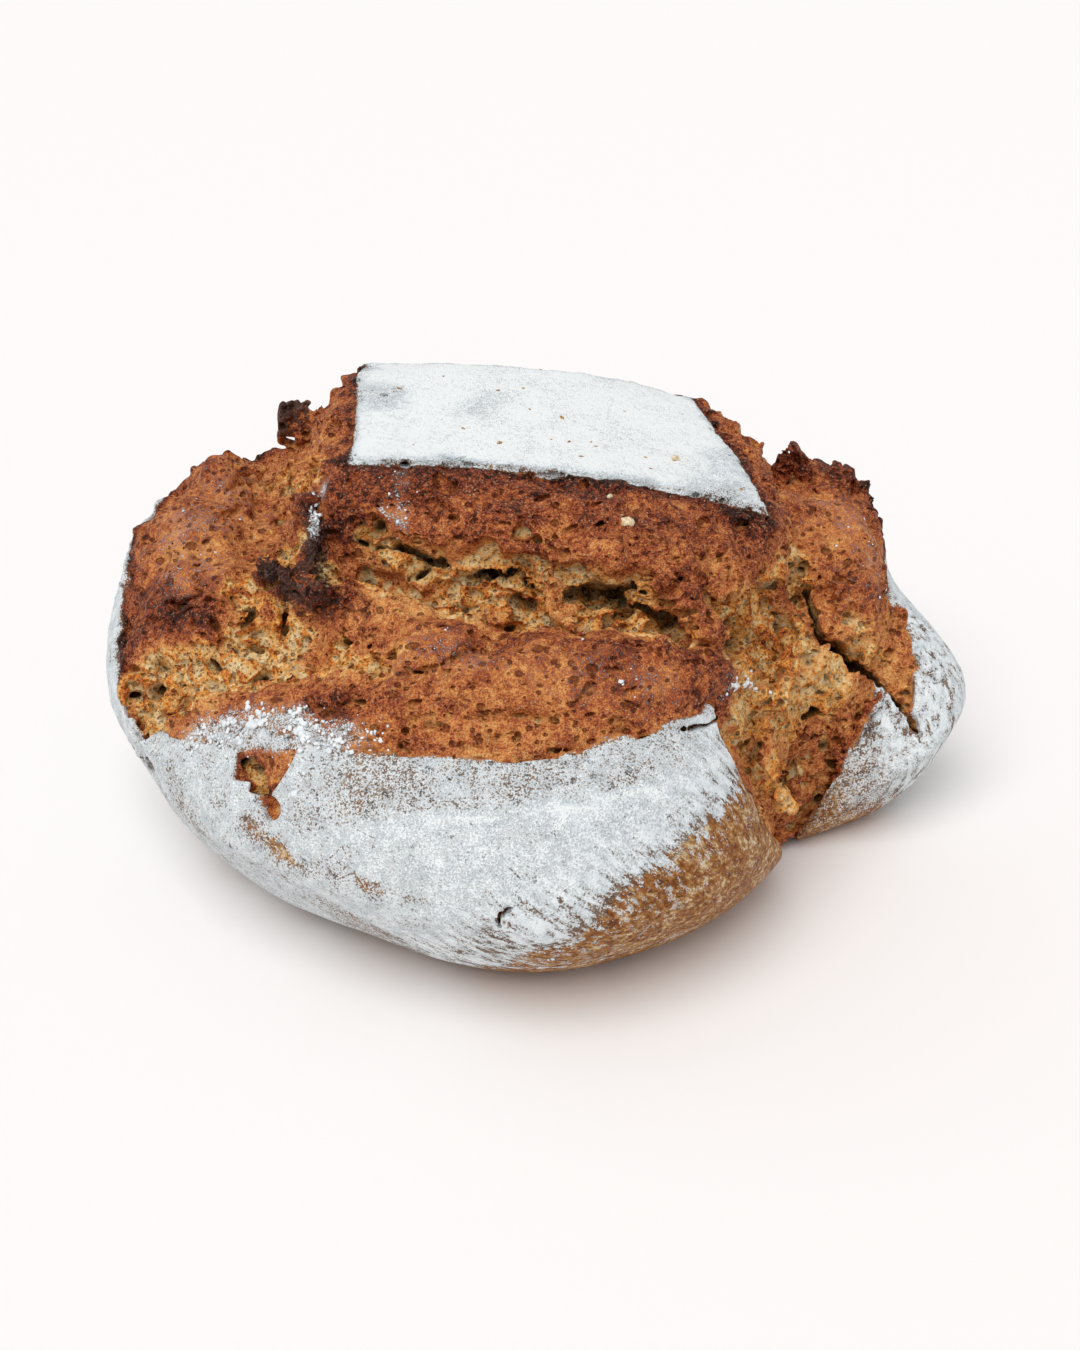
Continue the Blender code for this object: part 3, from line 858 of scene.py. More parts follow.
class Nodes:
    """Short ways to build a material's nodes."""

    def __init__(self, name):
        self.material = bpy.data.materials.new(name)
        self.material.use_nodes = True
        self.tree = self.material.node_tree
        self.shader = self.tree.nodes["Principled BSDF"]
        self.place = self.tree.nodes.new("ShaderNodeTexCoord").outputs["Object"]

    def feed(self, socket, value):
        if isinstance(value, bpy.types.NodeSocket):
            self.tree.links.new(value, socket)
        else:
            socket.default_value = value

    def attribute(self, name):
        node = self.tree.nodes.new("ShaderNodeAttribute")
        node.attribute_name = name
        return node.outputs["Fac"]

    def math(self, operation, first, second=0.0, third=0.0):
        node = self.tree.nodes.new("ShaderNodeMath")
        node.operation = operation
        for socket, value in zip(node.inputs, (first, second, third)):
            self.feed(socket, value)
        return node.outputs[0]

    def add(self, *terms):
        total = terms[0]
        for term in terms[1:]:
            total = self.math("ADD", total, term)
        return total

    def times(self, first, *others):
        total = first
        for other in others:
            total = self.math("MULTIPLY", total, other)
        return total

    def span(self, value, low, high, start=0.0, end=1.0):
        node = self.tree.nodes.new("ShaderNodeMapRange")
        node.interpolation_type = "SMOOTHSTEP"
        for socket, item in zip(node.inputs, (value, low, high, start, end)):
            self.feed(socket, item)
        return node.outputs[0]

    def turned(self, turn, scale):
        node = self.tree.nodes.new("ShaderNodeMapping")
        node.vector_type = "TEXTURE"
        self.feed(node.inputs["Vector"], self.place)
        node.inputs["Rotation"].default_value = turn
        node.inputs["Scale"].default_value = scale
        return node.outputs[0]

    def noise(self, wave, detail=3.0, rough=0.55, vector=None, twist=0.0):
        node = self.tree.nodes.new("ShaderNodeTexNoise")
        self.feed(node.inputs["Vector"], vector or self.place)
        node.inputs["Scale"].default_value = 1 / (wave * MM)
        node.inputs["Detail"].default_value = detail
        node.inputs["Roughness"].default_value = rough
        node.inputs["Distortion"].default_value = twist
        return node.outputs["Fac"]

    def cells(self, wave, feature="F1", vector=None, loose=1.0):
        node = self.tree.nodes.new("ShaderNodeTexVoronoi")
        node.feature = feature
        self.feed(node.inputs["Vector"], vector or self.place)
        node.inputs["Scale"].default_value = 1 / (wave * MM)
        node.inputs["Randomness"].default_value = loose
        return node.outputs["Distance"]

    def ramp(self, value, stops):
        node = self.tree.nodes.new("ShaderNodeValToRGB")
        self.feed(node.inputs[0], value)
        elements = node.color_ramp.elements
        while len(elements) < len(stops):
            elements.new(0.5)
        for element, (place, colour) in zip(elements, stops):
            element.position = place
            element.color = colour
        return node.outputs["Color"]

    def mix(self, share, first, second, blend="MIX"):
        node = self.tree.nodes.new("ShaderNodeMix")
        node.data_type = "RGBA"
        node.blend_type = blend
        self.feed(node.inputs["Factor"], share)
        self.feed(node.inputs[6], first)
        self.feed(node.inputs[7], second)
        return node.outputs[2]

    def bump(self, height, distance, strength=1.0):
        node = self.tree.nodes.new("ShaderNodeBump")
        self.feed(node.inputs["Height"], height)
        node.inputs["Distance"].default_value = distance * MM
        node.inputs["Strength"].default_value = strength
        return node.outputs[0]


def pocks(n, wave, widest, flat):
    """Small pits of many sizes, from 0 to 1 at their middles."""
    node = n.tree.nodes.new("ShaderNodeTexVoronoi")
    n.feed(node.inputs["Vector"], n.turned((0, 0, 0), flat))
    node.inputs["Scale"].default_value = 1 / (wave * MM)
    chance = n.tree.nodes.new("ShaderNodeSeparateColor")
    n.feed(chance.inputs[0], node.outputs["Color"])
    size = n.times(n.math("POWER", chance.outputs[0], 1.5), widest)
    return n.span(n.math("SUBTRACT", node.outputs["Distance"], size), 0.03, -0.12)


def torn_colour(n, mottle, fine, grit):
    """Burst crust and crumb: pale where fresh, browner the more it stood out in the oven, with painted shade in
    pores, crumb cells, hollows and deep cracks, and painted glints.
    """
    # Browning from its attribute, which also carries painted shade under the lid's edge, with noise.
    browning_and_overhang_shade = n.add(n.attribute("toast_and_overhang_shade"), n.span(n.noise(18.0, 2.0), 0.3, 0.7, -0.08, 0.08),
                    n.span(mottle, 0.3, 0.7, -0.08, 0.08), n.span(fine, 0.3, 0.7, -0.18, 0.18),
                    n.span(grit, 0.3, 0.7, -0.17, 0.17))
    skin = n.ramp(browning_and_overhang_shade, (
        (0.00, linear(244, 196, 126)), (0.20, linear(230, 164, 96)), (0.38, linear(208, 132, 74)),
        (0.54, linear(178, 98, 56)), (0.70, linear(138, 66, 42)), (0.85, linear(84, 42, 30)),
        (1.00, linear(38, 22, 18)),
    ))
    crumb = n.ramp(browning_and_overhang_shade, (
        (0.00, linear(248, 226, 178)), (0.20, linear(242, 204, 142)), (0.38, linear(238, 174, 92)),
        (0.56, linear(222, 134, 56)), (0.74, linear(168, 84, 40)), (1.00, linear(92, 50, 32)),
    ))
    colour = n.mix(n.span(n.attribute("fresh"), 0.12, 0.6), skin, crumb)
    # Pale specks: partly pale starch flecks of the crust, partly painted highlights that stand for glints on tiny
    # bumps.
    pale_flecks_and_glints = n.times(n.span(n.cells(1.15), 0.18, 0.32, 1.0, 0.0), n.span(n.noise(3.1, 2.0), 0.4, 0.54))
    colour = n.mix(n.times(pale_flecks_and_glints, 0.42), colour, linear(236, 192, 154))
    # Painted shade: pores and small hollows are darkened in colour, as shade inside them.
    pits = n.math("MAXIMUM", pocks(n, 1.5, 0.42, (1.5, 1.5, 1.0)), pocks(n, 2.7, 0.40, (1.6, 1.6, 1.0)))
    dark = n.math("MAXIMUM", n.times(pits, 0.72), n.attribute("hollow"))
    colour = n.mix(dark, colour, (0.24, 0.11, 0.045, 1.0), "MULTIPLY")
    # Painted shade: the cells of bare crumb are darkened in colour, as shade inside them; the same mask also dents
    # the bump.
    cell_pits_and_shade = n.add(n.cells(1.1), n.span(grit, 0.3, 0.7, -0.12, 0.12), n.span(fine, 0.3, 0.7, -0.15, 0.15))
    cell_pits_and_shade = n.times(n.span(cell_pits_and_shade, 0.1, 0.34, 1.0, 0.0), n.span(n.attribute("fresh"), 0.3, 0.8))
    colour = n.mix(n.times(cell_pits_and_shade, 0.6), colour, (0.44, 0.28, 0.14, 1.0), "MULTIPLY")
    pits = n.math("MAXIMUM", pits, cell_pits_and_shade)
    # Painted shade: deep cracks and strongly hollow places are darkened almost to black.
    colour = n.mix(n.attribute("depth"), colour, (0.17, 0.11, 0.06, 1.0), "MULTIPLY")
    return colour, pale_flecks_and_glints, pits


def bare_crust_colour(n, mottle):
    """Side crust where the flour has rubbed off: golden brown with pale blisters."""
    flecks = n.noise(1.3, 5.0, 0.7, n.turned((0, math.radians(38), 0), (2.6, 1.0, 1.0)))
    return n.ramp(n.add(n.span(flecks, 0.3, 0.7), n.span(mottle, 0.3, 0.7, -0.2, 0.2)), (
        (0.0, linear(122, 68, 32)), (0.35, linear(156, 98, 48)), (0.7, linear(182, 132, 76)),
        (1.0, linear(226, 202, 160)),
    ))


def bread_material():
    """Torn crumb and burst crust, browner where it stood out, with painted shade and glints, and flour laid over
    it.
    """
    n = Nodes("rye_bread")
    mottle = n.noise(7.0, 4.0, 0.6)
    fine = n.noise(1.6, 4.0, 0.7)
    grit = n.noise(0.5, 2.0, 0.6)
    torn, pale_flecks_and_glints, pits = torn_colour(n, mottle, fine, grit)
    ground = n.mix(n.attribute("crust"), torn, bare_crust_colour(n, mottle))
    ash = n.mix(n.span(fine, 0.42, 0.68), linear(22, 18, 19), linear(112, 80, 70))
    ash = n.mix(n.times(n.span(grit, 0.6, 0.74), 0.5), ash, linear(168, 160, 156))
    burnt = n.span(n.add(n.attribute("burnt"), n.span(fine, 0.3, 0.7, -0.4, 0.4)), 0.38, 0.88)
    ground = n.mix(n.times(burnt, 0.92), ground, ash)

    flour = n.attribute("flour")
    ground = n.mix(n.span(flour, 0.3, 0.55, 0.0, 0.8), ground, linear(122, 104, 92))
    streaks = n.noise(1.5, 4.0, 0.65, n.turned((0, math.radians(38), 0), (5.0, 1.0, 1.2)))
    rings = n.noise(2.2, 3.0, 0.6, n.turned((0, 0, 0), (1.0, 1.0, 9.0)))
    dust = n.add(flour, n.span(n.noise(9.0, 5.0, 0.62), 0.25, 0.75, -0.15, 0.15),
                 n.span(fine, 0.25, 0.75, -0.2, 0.2), n.span(grit, 0.25, 0.75, -0.34, 0.34),
                 n.times(n.attribute("brushed"), n.span(streaks, 0.3, 0.7, -0.6, 0.6)),
                 n.times(n.attribute("ringed"), n.span(rings, 0.3, 0.7, -0.6, 0.6)))
    crackle = n.span(n.cells(7.0, "DISTANCE_TO_EDGE"), 0.0, 0.035, 0.42, 0.0)
    dust = n.math("SUBTRACT", dust, n.times(crackle, n.attribute("crust"), n.span(n.noise(12.0, 2.0), 0.55, 0.66)))
    cover = n.times(n.span(dust, 0.26, 0.66), n.span(flour, 0.02, 0.2))
    # Flour colour: on the side crust a bluish grey that is partly the flour's own uneven tone and partly painted
    # cool shade; thick flour on the lid is neutral white.
    powder = n.ramp(n.add(n.span(n.noise(4.0, 5.0, 0.6), 0.25, 0.75), n.span(grit, 0.3, 0.7, -0.2, 0.2)), (
        (0.0, linear(214, 220, 223)), (0.5, linear(231, 237, 239)), (1.0, linear(246, 249, 250)),
    ))
    powder = n.mix(n.span(flour, 0.95, 1.1), powder, linear(246, 248, 247))
    colour = n.mix(cover, ground, powder)
    n.feed(n.shader.inputs["Base Color"], colour)
    n.feed(n.shader.inputs["Roughness"], n.span(cover, 0.0, 1.0, 0.52, 0.95))
    n.shader.inputs["Specular IOR Level"].default_value = 0.12

    skin = n.add(n.times(fine, 0.8), n.times(grit, 0.45), n.times(pale_flecks_and_glints, 0.3), n.times(pits, -0.9))
    dusting = n.add(n.times(fine, 0.3), n.times(grit, 0.35), n.times(n.span(dust, 0.3, 1.0), 0.25))
    relief = n.math("ADD", n.times(skin, n.math("SUBTRACT", 1.0, cover)), n.times(dusting, cover))
    n.feed(n.shader.inputs["Normal"], n.bump(relief, 1.0, 1.0))
    return n.material


# ---------------------------------------------------------------------------------------------
# Meshes
# ---------------------------------------------------------------------------------------------
def mesh_object(name, points, polygons, material):
    """An object from points in metres and lists of faces, each with its own number of corners."""
    mesh = bpy.data.meshes.new(name)
    mesh.vertices.add(len(points))
    mesh.vertices.foreach_set("co", np.ascontiguousarray(points, np.float32).ravel())
    corners = np.concatenate([np.full(len(faces), faces.shape[1]) for faces in polygons])
    mesh.loops.add(int(corners.sum()))
    mesh.loops.foreach_set("vertex_index", np.concatenate([faces.ravel() for faces in polygons]).astype(np.int32))
    mesh.polygons.add(len(corners))
    mesh.polygons.foreach_set("loop_start", np.concatenate([[0], np.cumsum(corners)[:-1]]).astype(np.int32))
    mesh.update(calc_edges=True)
    mesh.validate()
    mesh.shade_smooth()
    mesh.materials.append(material)
    piece = bpy.data.objects.new(name, mesh)
    bpy.context.scene.collection.objects.link(piece)
    return piece


def whole_body(points, triangles, quads):
    """The largest connected part of a mesh, without loose bits and shut-in bubbles."""
    links = [triangles[:, (0, 1)], triangles[:, (1, 2)], quads[:, (0, 1)], quads[:, (1, 2)], quads[:, (2, 3)]]
    links = np.concatenate(links)
    group = np.arange(len(points))
    while True:
        ends = group[links]
        apart = ends[:, 0] != ends[:, 1]
        if not apart.any():
            break
        group[ends[apart].max(1)] = ends[apart].min(1)
        while (group[group] != group).any():
            group = group[group]
    kept = group == np.bincount(group).argmax()
    number = np.cumsum(kept) - 1
    return points[kept], number[triangles[kept[triangles[:, 0]]]], number[quads[kept[quads[:, 0]]]]


def store(mesh, name, values):
    """A number for each vertex, for the material to read."""
    layer = mesh.attributes.new(name, "FLOAT", "POINT")
    layer.data.foreach_set("value", np.ascontiguousarray(np.clip(values, 0, 2), np.float32))


# Charred places: start, end, radius and strength.
BURNS = (
    ((-62, -16, 98), (-60, -24, 93), 2.6, 0.75),
    ((-60, -24, 94), (-57, -37, 85), 4.2, 1.0),
    ((-73, -24, 84), (-66, -35, 83), 3.6, 1.15),
    ((-66, -36, 83), (-55, -42, 83), 4.2, 0.9),
    ((-55, -42, 83), (-43, -50, 83), 2.6, 0.5),
    ((-79, 52, 98), (-75, 52, 101), 6.0, 1.3),
    ((-76, 53, 102), (-62, 52, 103), 3.2, 0.85),
    ((-99, 40, 86), (-84, 40, 88), 2.5, 0.5),
    ((76, 49, 86), (98, 46, 80), 2.5, 0.5),
    ((40, -45, 84), (46, -42, 80), 2.5, 0.4),
    ((-100, -22, 74), (-90, -26, 76), 2.0, 0.4),
)

SCORCHED = tuple((start, end, 1.7 * radius, strength) for start, end, radius, strength in BURNS[:4])

# Places where flour has come off: start, end, radius and loss.
FLOUR_LOSS = (
    ((-72, -86, 43), (-64, -92, 40), 2.0, 0.40),
    ((-64, -92, 40), (-58, -95, 38), 1.6, 0.45),
    ((-54, -97, 39), (-50, -99, 38), 1.4, 0.40),
    ((-42, -104, 38), (-37, -107, 37), 1.4, 0.50),
    ((-32, -109, 38), (-28, -110, 38), 1.2, 0.45),
    ((-74, -85, 31), (-70, -88, 30), 1.1, 0.55),
    ((-67, -90, 29), (-59, -94, 27), 1.0, 0.50),
    ((-55, -97, 26), (-43, -103, 24), 1.1, 0.60),
    ((-37, -105, 23), (-34, -106, 23), 1.1, 0.55),
    ((-32, -107, 22), (-27, -109, 22), 1.1, 0.60),
    ((-15, -114, 28), (-2, -114, 25), 2.5, 0.45),
    ((-10, -113, 22), (3, -112, 19), 1.5, 0.45),
    ((-98, -63, 41), (-86, -76, 30), 3.0, 0.25),
)

# Places on the lid where flour is thin: middle, radius and loss.
LID_THIN = (
    ((-46, 27, 113), 5, 0.34),
    ((-43, 21, 112), 3, 0.22),
    ((-41, 31, 113), 1.2, 0.5),
    ((52, 13, 98), 4, 0.30),
    ((53, -3, 95), 6, 0.34),
    ((45, -7, 97), 4, 0.25),
    ((-18, 20, 111), 5, 0.14),
    ((-14, 28, 111), 3, 0.14),
    ((-25, -9, 108), 2.0, 0.4),
    ((19, 53, 107), 2.0, 0.4),
    ((44, 52, 100), 2.0, 0.4),
    ((-53, 50, 112), 2.5, 0.9),
)


def near_run(points, start, end):
    """Distance in space from a straight run."""
    start, end = np.array(start, float), np.array(end, float)
    run = end - start
    share = np.clip((points - start) @ run / (run @ run), 0, 1)
    return np.linalg.norm(points - start - share[:, None] * run, axis=1)


def near_runs(points, places):
    """The strongest of several soft places along runs, at each point."""
    strongest = np.zeros(len(points))
    for start, end, radius, strength in places:
        near = strength * np.exp(-0.5 * (near_run(points, start, end) / radius) ** 2)
        strongest = np.maximum(strongest, near)
    return strongest


# Height and direction from which the side crust is bare of flour, at the front right.
BARE_FROM = ((0, 258), (10, 262), (20, 266), (27, 271), (34, 275), (38, 277), (42, 280), (48, 289), (51, 298),
             (56, 306), (62, 312))

# Flour caught on the burst band: start, end, radius and amount.
DUSTED = (
    ((-89, -61, 54), (-64, -73, 64), 3.5, 0.50),
    ((-62, -75, 66), (-46, -84, 67), 3.0, 0.6),
    ((-58, -14, 102), (-60, -27, 95), 1.8, 0.62),
    ((-37, -15, 104), (-36, -26, 98), 1.8, 0.4),
    ((-42, -24, 99), (-35, -25, 98), 1.2, 0.45),
    ((48, -64, 69), (60, -44, 61), 3.0, 0.3),
    ((-98, -12, 80), (-92, 20, 84), 14.0, 0.14),
    ((84, 22, 86), (94, -4, 68), 13.0, 0.11),
    ((-34, -70, 82), (30, -76, 76), 7.0, 0.11),
    ((-90, -62, 55), (-50, -84, 64), 2.2, 0.75),
)


def flank_flour(points):
    """How thickly the side crust is floured, and how far its flour is brushed into streaks."""
    x, y, z = points.T
    angle = plan_angle(x, y)
    below_lip = -lip_inset(x, y)
    front = smooth(angle, 235, 245) * (1 - smooth(angle, 288, 300))
    left = smooth(angle, 190, 205) * (1 - smooth(angle, 240, 262))
    flour = 0.88 - 0.26 * front * smooth(-below_lip, -9.2, -8.2) - 0.16 * left
    flour = flour + 0.2 * front * np.exp(-0.5 * ((below_lip - 9.8) / 0.7) ** 2)
    for start, end, radius, loss in FLOUR_LOSS:
        flour = flour - loss * np.exp(-0.5 * (near_run(points, start, end) / radius) ** 2)
    past_bare = angle - np.interp(z, *zip(*BARE_FROM))
    bare = smooth(past_bare, -3, 5) * (angle < 331)
    brushed = smooth(past_bare, -22, -6) * (1 - smooth(past_bare, 6, 24)) * (angle < 325)
    lobe = smooth(angle, 331, 335) * (1 - smooth(angle, 349, 352))
    worn = smooth(-z - 0.9 * np.maximum(lobe_side(x, y, z), 0), -44, -16)
    flour = flour - 0.75 * bare - (0.46 * worn + 0.06) * lobe - 0.3 * smooth(-z, -10, -2)
    return flour, brushed


def large_noise(volume):
    """Smooth noise with waves of 5 mm, the same as shapes the torn crust."""
    return volume.spread(noise_tile((5.5, 5.0, 3.4), 13))


def paint(mesh, points, volume):
    """Browning, flour, burns and bare crust, by place, depth and curvature, with painted shade in hollows, in deep
    cracks and under the lid's edge.
    """
    x, y, z = points.T
    _, band = zones(x, y, z)
    facing = volume.slope(points)
    gap = lid_distance(x, y)
    drop = lid_height(x, y) - z
    top = smooth(-gap, -1.2, -0.2) * smooth(-drop, -1.8, -1.0) * smooth(facing[:, 2], 0.35, 0.6)
    depth = -volume.read(volume.form, points)
    band = np.maximum(band, smooth(depth, 1.6, 2.6)) * (1 - top)
    near = np.clip(volume.values, -3, 3)
    small = volume.read(blurred(near, round(1.0 / VOXEL)), points)
    large = volume.read(blurred(near, round(3.0 / VOXEL)), points)
    ragged = 0.8 * volume.read(volume.rough, points) + 0.9 * volume.read(large_noise(volume), points)
    fresh = band * 0.8 * smooth(depth, 3.2, 5.0)
    glow = np.zeros(len(points))
    for start, end, half_width, strength in CRUMB_PATCHES:
        away = near_run(points, start, end) - half_width + ragged
        fresh = np.maximum(fresh, strength * smooth(-away, -1.0, 1.0))
        glow = np.maximum(glow, strength * smooth(-away, -5.0, 0.0))
    fresh = fresh * (1 - near_runs(points, CRUSTED))
    below = np.hypot(np.maximum(gap, 0), np.maximum(drop, 0))
    rim = np.exp(-np.maximum(lip_inset(x, y) - 0.5, 0) / 2.0) * rim_side(x, y) * (z > 30)
    # Darker nearer the lid's edge, with a dark line just under it that is partly burnt crust and partly painted
    # shade under the lid's overhang; the rim is burnt.
    toast_and_overhang_shade = 0.44 + 0.20 * np.exp(-below / 9) + 0.42 * np.exp(-(below / 2.4) ** 2) + 0.42 * rim
    for start, end, radius, change in BROWNED:
        toast_and_overhang_shade = toast_and_overhang_shade + change * np.exp(-0.5 * (near_run(points, start, end) / radius) ** 2)
    toast_and_overhang_shade = toast_and_overhang_shade + 0.2 * np.clip(large, -0.6, 0.6) - 0.22 * glow + 0.4 * near_runs(points, SCORCHED)
    crumb_toast = 0.26 + 0.9 * np.clip(small, -0.3, 0.5)
    toast_and_overhang_shade = toast_and_overhang_shade + (crumb_toast - toast_and_overhang_shade) * smooth(fresh, 0.12, 0.8)
    # Painted shade in small hollows, weaker on bare crumb.
    hollow = 0.9 * smooth(-small, 0.08, 0.32) * (1 - 0.75 * fresh)
    burnt = near_runs(points, BURNS)
    flour, brushed = flank_flour(points)
    flour = (1 - band) * (1 - top) * flour
    for start, end, radius, amount in DUSTED:
        fallen = amount * np.exp(-0.5 * (near_run(points, start, end) / radius) ** 2)
        flour = np.maximum(flour, band * fallen * smooth(facing[:, 2], -0.1, 0.4))
    thick = 1.1 - 0.25 * np.exp(-(gap / 1.5) ** 2)
    for middle, radius, loss in LID_THIN:
        thick = thick - loss * np.exp(-0.5 * (np.linalg.norm(points - middle, axis=1) / radius) ** 2)
    angle = plan_angle(x, y)
    ringed = smooth(np.abs((angle - 355 + 180) % 360 - 180), 14, 6)
    store(mesh, "toast_and_overhang_shade", np.clip(toast_and_overhang_shade, 0.02, 0.98))
    store(mesh, "hollow", hollow)
    store(mesh, "fresh", fresh)
    # Painted shade: how deep or how hollow a place is, for darkening deep cracks.
    store(mesh, "depth", np.maximum(smooth(depth, 6.4, 11.0), smooth(-large, 0.6, 1.3)))
    store(mesh, "flour", np.maximum(top * thick, flour))
    store(mesh, "brushed", brushed * (1 - band) * (1 - top))
    store(mesh, "ringed", ringed * (1 - band) * (1 - top))
    store(mesh, "burnt", burnt)
    store(mesh, "crust", (1 - band) * (1 - top))


def over_frame(points, form_points):
    """Sculpting millimetres as metres in the frame, over the middle of the CAD loaf."""
    low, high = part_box("loaf")
    middle = (form_points.min(0) + form_points.max(0)) / 2
    shift = np.array([(low[0] + high[0]) / 2 - middle[0] * MM, (low[1] + high[1]) / 2 - middle[1] * MM, 0])
    return points * MM + shift, shift


def make_loaf():
    volume = sculpted_loaf()
    points, triangles, quads = whole_body(*volume.mesh())
    form_points, _, _ = large_form()
    placed, shift = over_frame(shaken(volume, points), form_points)
    placed[:, 2] = np.maximum(placed[:, 2], 0.0)
    loaf = mesh_object("rye_loaf", placed, (triangles[:, ::-1], quads[:, ::-1]), bread_material())
    paint(loaf.data, points, volume)
    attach(loaf, "root")
    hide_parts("loaf")
    make_pieces(volume, shift)
    return loaf, shift


# ---------------------------------------------------------------------------------------------
# What lies on the loaf
# ---------------------------------------------------------------------------------------------
# Lumps of flour: start and end of a run, spread, count and size.
FLOUR_LUMPS = (
    ((-89, -62, 53), (-78, -66, 59), 2.4, 36, 0.55),
    ((-77, -68, 60), (-67, -70, 64), 1.9, 60, 0.8),
    ((-62, -74, 66), (-56, -78, 65), 1.9, 44, 0.7),
    ((-58, -79, 65), (-45, -85, 64), 1.7, 70, 0.7),
    ((-45, -84, 66), (-38, -84, 67), 1.5, 14, 0.5),
    ((-88, -62, 54), (-40, -84, 67), 3.2, 130, 0.35),
    ((47, -64, 68), (50, -62, 67), 1.2, 6, 0.9),
    ((54, -58, 66), (60, -48, 62), 1.6, 14, 1.1),
    ((-60, -18, 100), (-60, -26, 96), 1.5, 14, 0.8),
    ((-59, -87, 55), (-57, -88, 54), 0.8, 3, 1.0),
    ((2, -111, 18), (4, -111, 18), 0.5, 2, 0.9),
    ((-40, -16, 103), (-35, -27, 97), 2.0, 12, 0.45),
    ((-98, -14, 80), (-92, 22, 84), 9.0, 26, 0.4),
    ((-30, -66, 82), (34, -72, 77), 6.0, 30, 0.4),
    ((82, 20, 86), (94, -6, 68), 8.0, 18, 0.4),
)

# Bran specks: place and size. Oat flakes: place, length and width.
BRAN_SPECKS = (
    ((-12, 33, 111), 0.7), ((-5, 36, 110), 0.5), ((-3, 22, 109), 0.5), ((-21, 8, 110), 0.6),
    ((-11, 1, 108), 0.9), ((8, 6, 107), 0.6), ((14, 8, 106), 0.5), ((15, 6, 105), 0.5),
    ((11, -1, 105), 0.6), ((3, 6, 107), 0.4), ((29, 5, 103), 0.6), ((30, -1, 102), 0.5),
    ((-40, 31, 113), 0.8), ((0, 51, 110), 0.5), ((6, 19, 108), 0.9), ((55, -1, 96), 0.7),
    ((-13, -10, 106), 0.8), ((-34, -2, 110), 0.4), ((24, 30, 106), 0.4), ((-28, 40, 112), 0.4),
)
OAT_FLAKES = (((21, -30, 97), 2.5, 1.9), ((16, -22, 100), 1.0, 0.7), ((37, 7, 101), 1.3, 0.9))


def small_pieces(volume, shift, name, settings, material):
    """Lumps of one kind, each a small uneven ball flattened onto the crust, joined in one mesh."""
    rng = np.random.default_rng(len(name))
    ball = bmesh.new()
    bmesh.ops.create_icosphere(ball, subdivisions=2, radius=1.0)
    shape = np.array([vertex.co for vertex in ball.verts])
    faces = np.array([[vertex.index for vertex in face.verts] for face in ball.faces])
    ball.free()
    places, normals = volume.settled([place for place, _, _, _ in settings])
    places = shaken(volume, places)
    points = []
    for middle, normal, (wanted, length, width, thick) in zip(places, normals, settings):
        if math.dist(middle, wanted) > 6:
            continue
        along = np.cross(normal, rng.normal(size=3))
        along /= np.linalg.norm(along)
        across = np.cross(normal, along)
        uneven = shape * rng.uniform(0.62, 1.3, (len(shape), 1))
        local = uneven * (length, width, thick)
        points.append(middle + normal * 0.3 * thick + local @ np.stack([along, across, normal]))
    count = len(points)
    indices = np.concatenate([faces + len(shape) * index for index in range(count)])
    piece = mesh_object(name, np.concatenate(points) * MM + shift, (indices,), material)
    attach(piece, "root")
    return piece


def grain_material(name, pale, dark, wave):
    """A matt material between two colours."""
    n = Nodes(name)
    n.feed(n.shader.inputs["Base Color"], n.mix(n.span(n.noise(wave, 3.0), 0.35, 0.65), pale, dark))
    n.shader.inputs["Roughness"].default_value = 0.9
    n.shader.inputs["Specular IOR Level"].default_value = 0.2
    return n.material


def make_pieces(volume, shift):
    """Flour lumps, bran and oat flakes."""
    rng = np.random.default_rng(8)
    lumps = []
    for start, end, spread, count, size in FLOUR_LUMPS:
        for share in rng.random(count):
            place = np.add(start, np.subtract(end, start) * share) + rng.normal(0, spread, 3)
            grown = size * math.exp(rng.normal(-0.25, 0.35))
            lumps.append((place, grown, grown * rng.uniform(0.7, 1.0), grown * 0.55))
    flour = grain_material("flour_lump", linear(246, 249, 250), linear(228, 233, 235), 2.0)
    small_pieces(volume, shift, "flour_lumps", lumps, flour)
    bran = [(place, size, size * 0.6, size * 0.3) for place, size in BRAN_SPECKS]
    small_pieces(volume, shift, "bran_specks", bran,
                 grain_material("bran", linear(206, 168, 116), linear(152, 102, 58), 0.6))
    oats = [(place, length, width, 1.0) for place, length, width in OAT_FLAKES]
    small_pieces(volume, shift, "oat_flakes", oats,
                 grain_material("oat", linear(240, 226, 196), linear(214, 186, 140), 0.9))


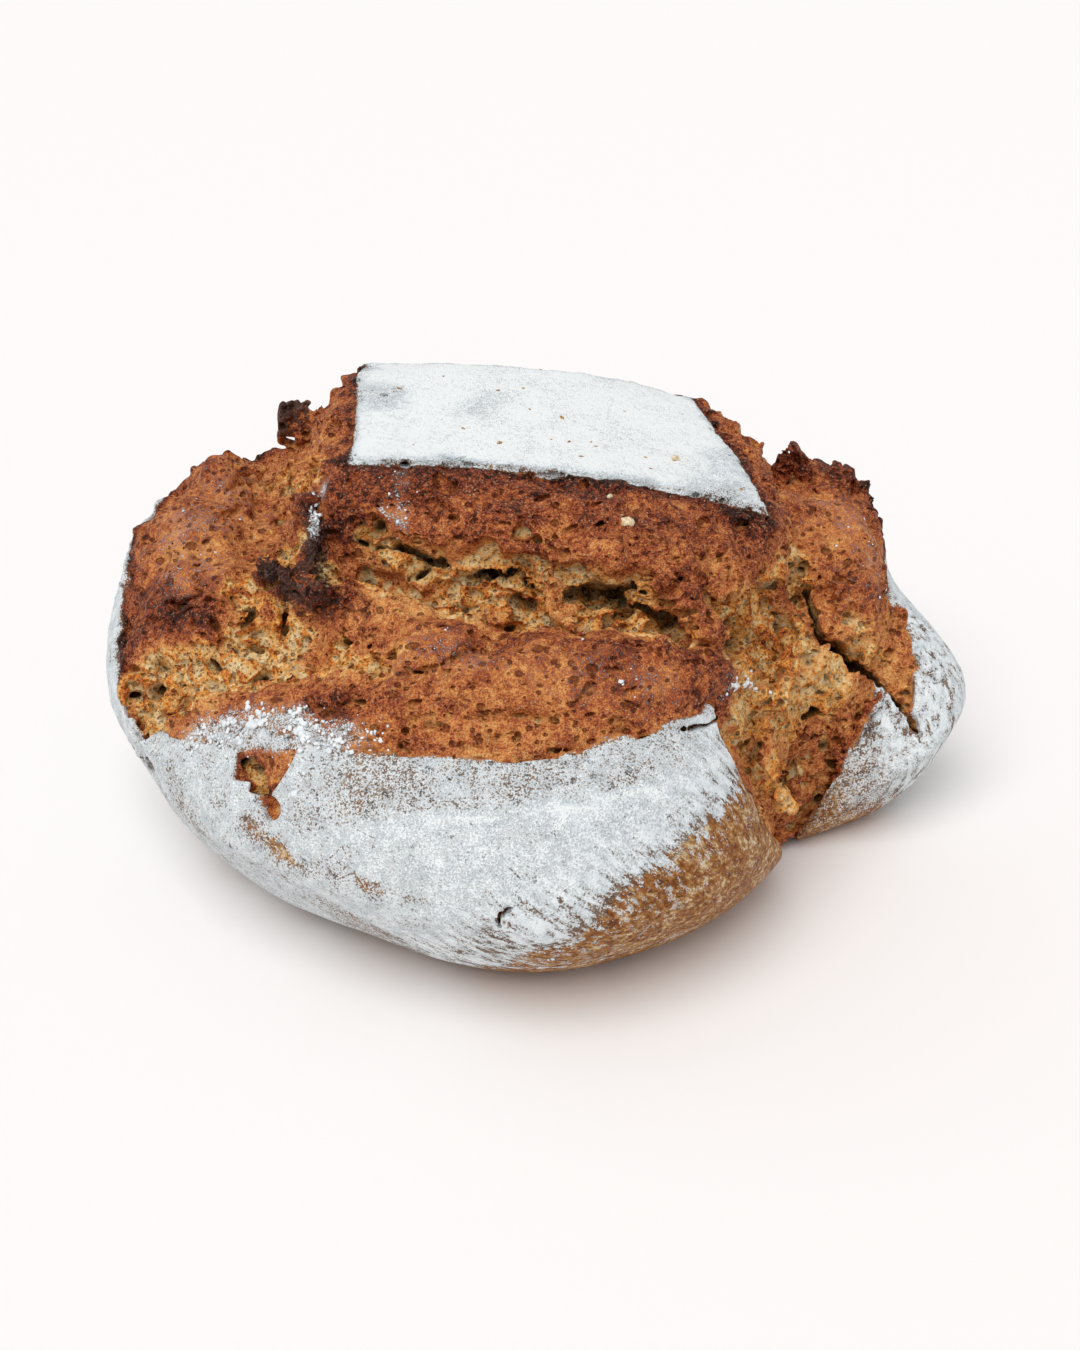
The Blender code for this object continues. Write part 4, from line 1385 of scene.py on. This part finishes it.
# ---------------------------------------------------------------------------------------------
# Stage
# ---------------------------------------------------------------------------------------------
CAMERA_PLACE = Vector((0.0, -0.4338, 0.2777))
CAMERA_AIM = Vector((0.0, -0.014, 0.045))
CAMERA_LENS = 45.59
FLOOR_SIZE = 12.0
SUN_FROM = (-0.28, -0.42, 1.0)
SUN_WIDTH = math.radians(50)
SUN_STRENGTH = 1.62
WORLD_STRENGTH = 0.58


def make_stage(shift):
    mesh = bpy.data.meshes.new("floor")
    half = FLOOR_SIZE / 2
    mesh.from_pydata([(-half, -half, 0), (half, -half, 0), (half, half, 0), (-half, half, 0)], [], [(0, 1, 2, 3)])
    floor = bpy.data.objects.new("floor", mesh)
    bpy.context.scene.collection.objects.link(floor)
    material = bpy.data.materials.new("pale_floor")
    material.use_nodes = True
    shader = material.node_tree.nodes["Principled BSDF"]
    shader.inputs["Base Color"].default_value = linear(252, 248, 246)
    shader.inputs["Roughness"].default_value = 0.9
    shader.inputs["Specular IOR Level"].default_value = 0.1
    mesh.materials.append(material)

    camera = bpy.data.cameras.new("camera")
    camera.sensor_fit = "VERTICAL"
    camera.sensor_height = 36
    camera.lens = CAMERA_LENS
    camera.clip_start = 0.01
    eye = bpy.data.objects.new("camera", camera)
    eye.location = CAMERA_PLACE + Vector(shift)
    aim = CAMERA_AIM + Vector(shift)
    eye.rotation_euler = (aim - eye.location).to_track_quat("-Z", "Y").to_euler()
    bpy.context.scene.collection.objects.link(eye)
    bpy.context.scene.camera = eye

    sun = bpy.data.lights.new("soft_sun", "SUN")
    sun.energy = SUN_STRENGTH
    sun.angle = SUN_WIDTH
    holder = bpy.data.objects.new("soft_sun", sun)
    holder.rotation_euler = (-Vector(SUN_FROM)).to_track_quat("-Z", "Y").to_euler()
    bpy.context.scene.collection.objects.link(holder)
    world = bpy.data.worlds.new("studio")
    bpy.context.scene.world = world
    world.use_nodes = True
    world.node_tree.nodes["Background"].inputs["Color"].default_value = (0.97, 0.985, 1.0, 1.0)
    world.node_tree.nodes["Background"].inputs["Strength"].default_value = WORLD_STRENGTH
    bpy.context.scene.view_settings.view_transform = "Standard"


def main():
    loaf, shift = make_loaf()
    make_stage(shift)


main()
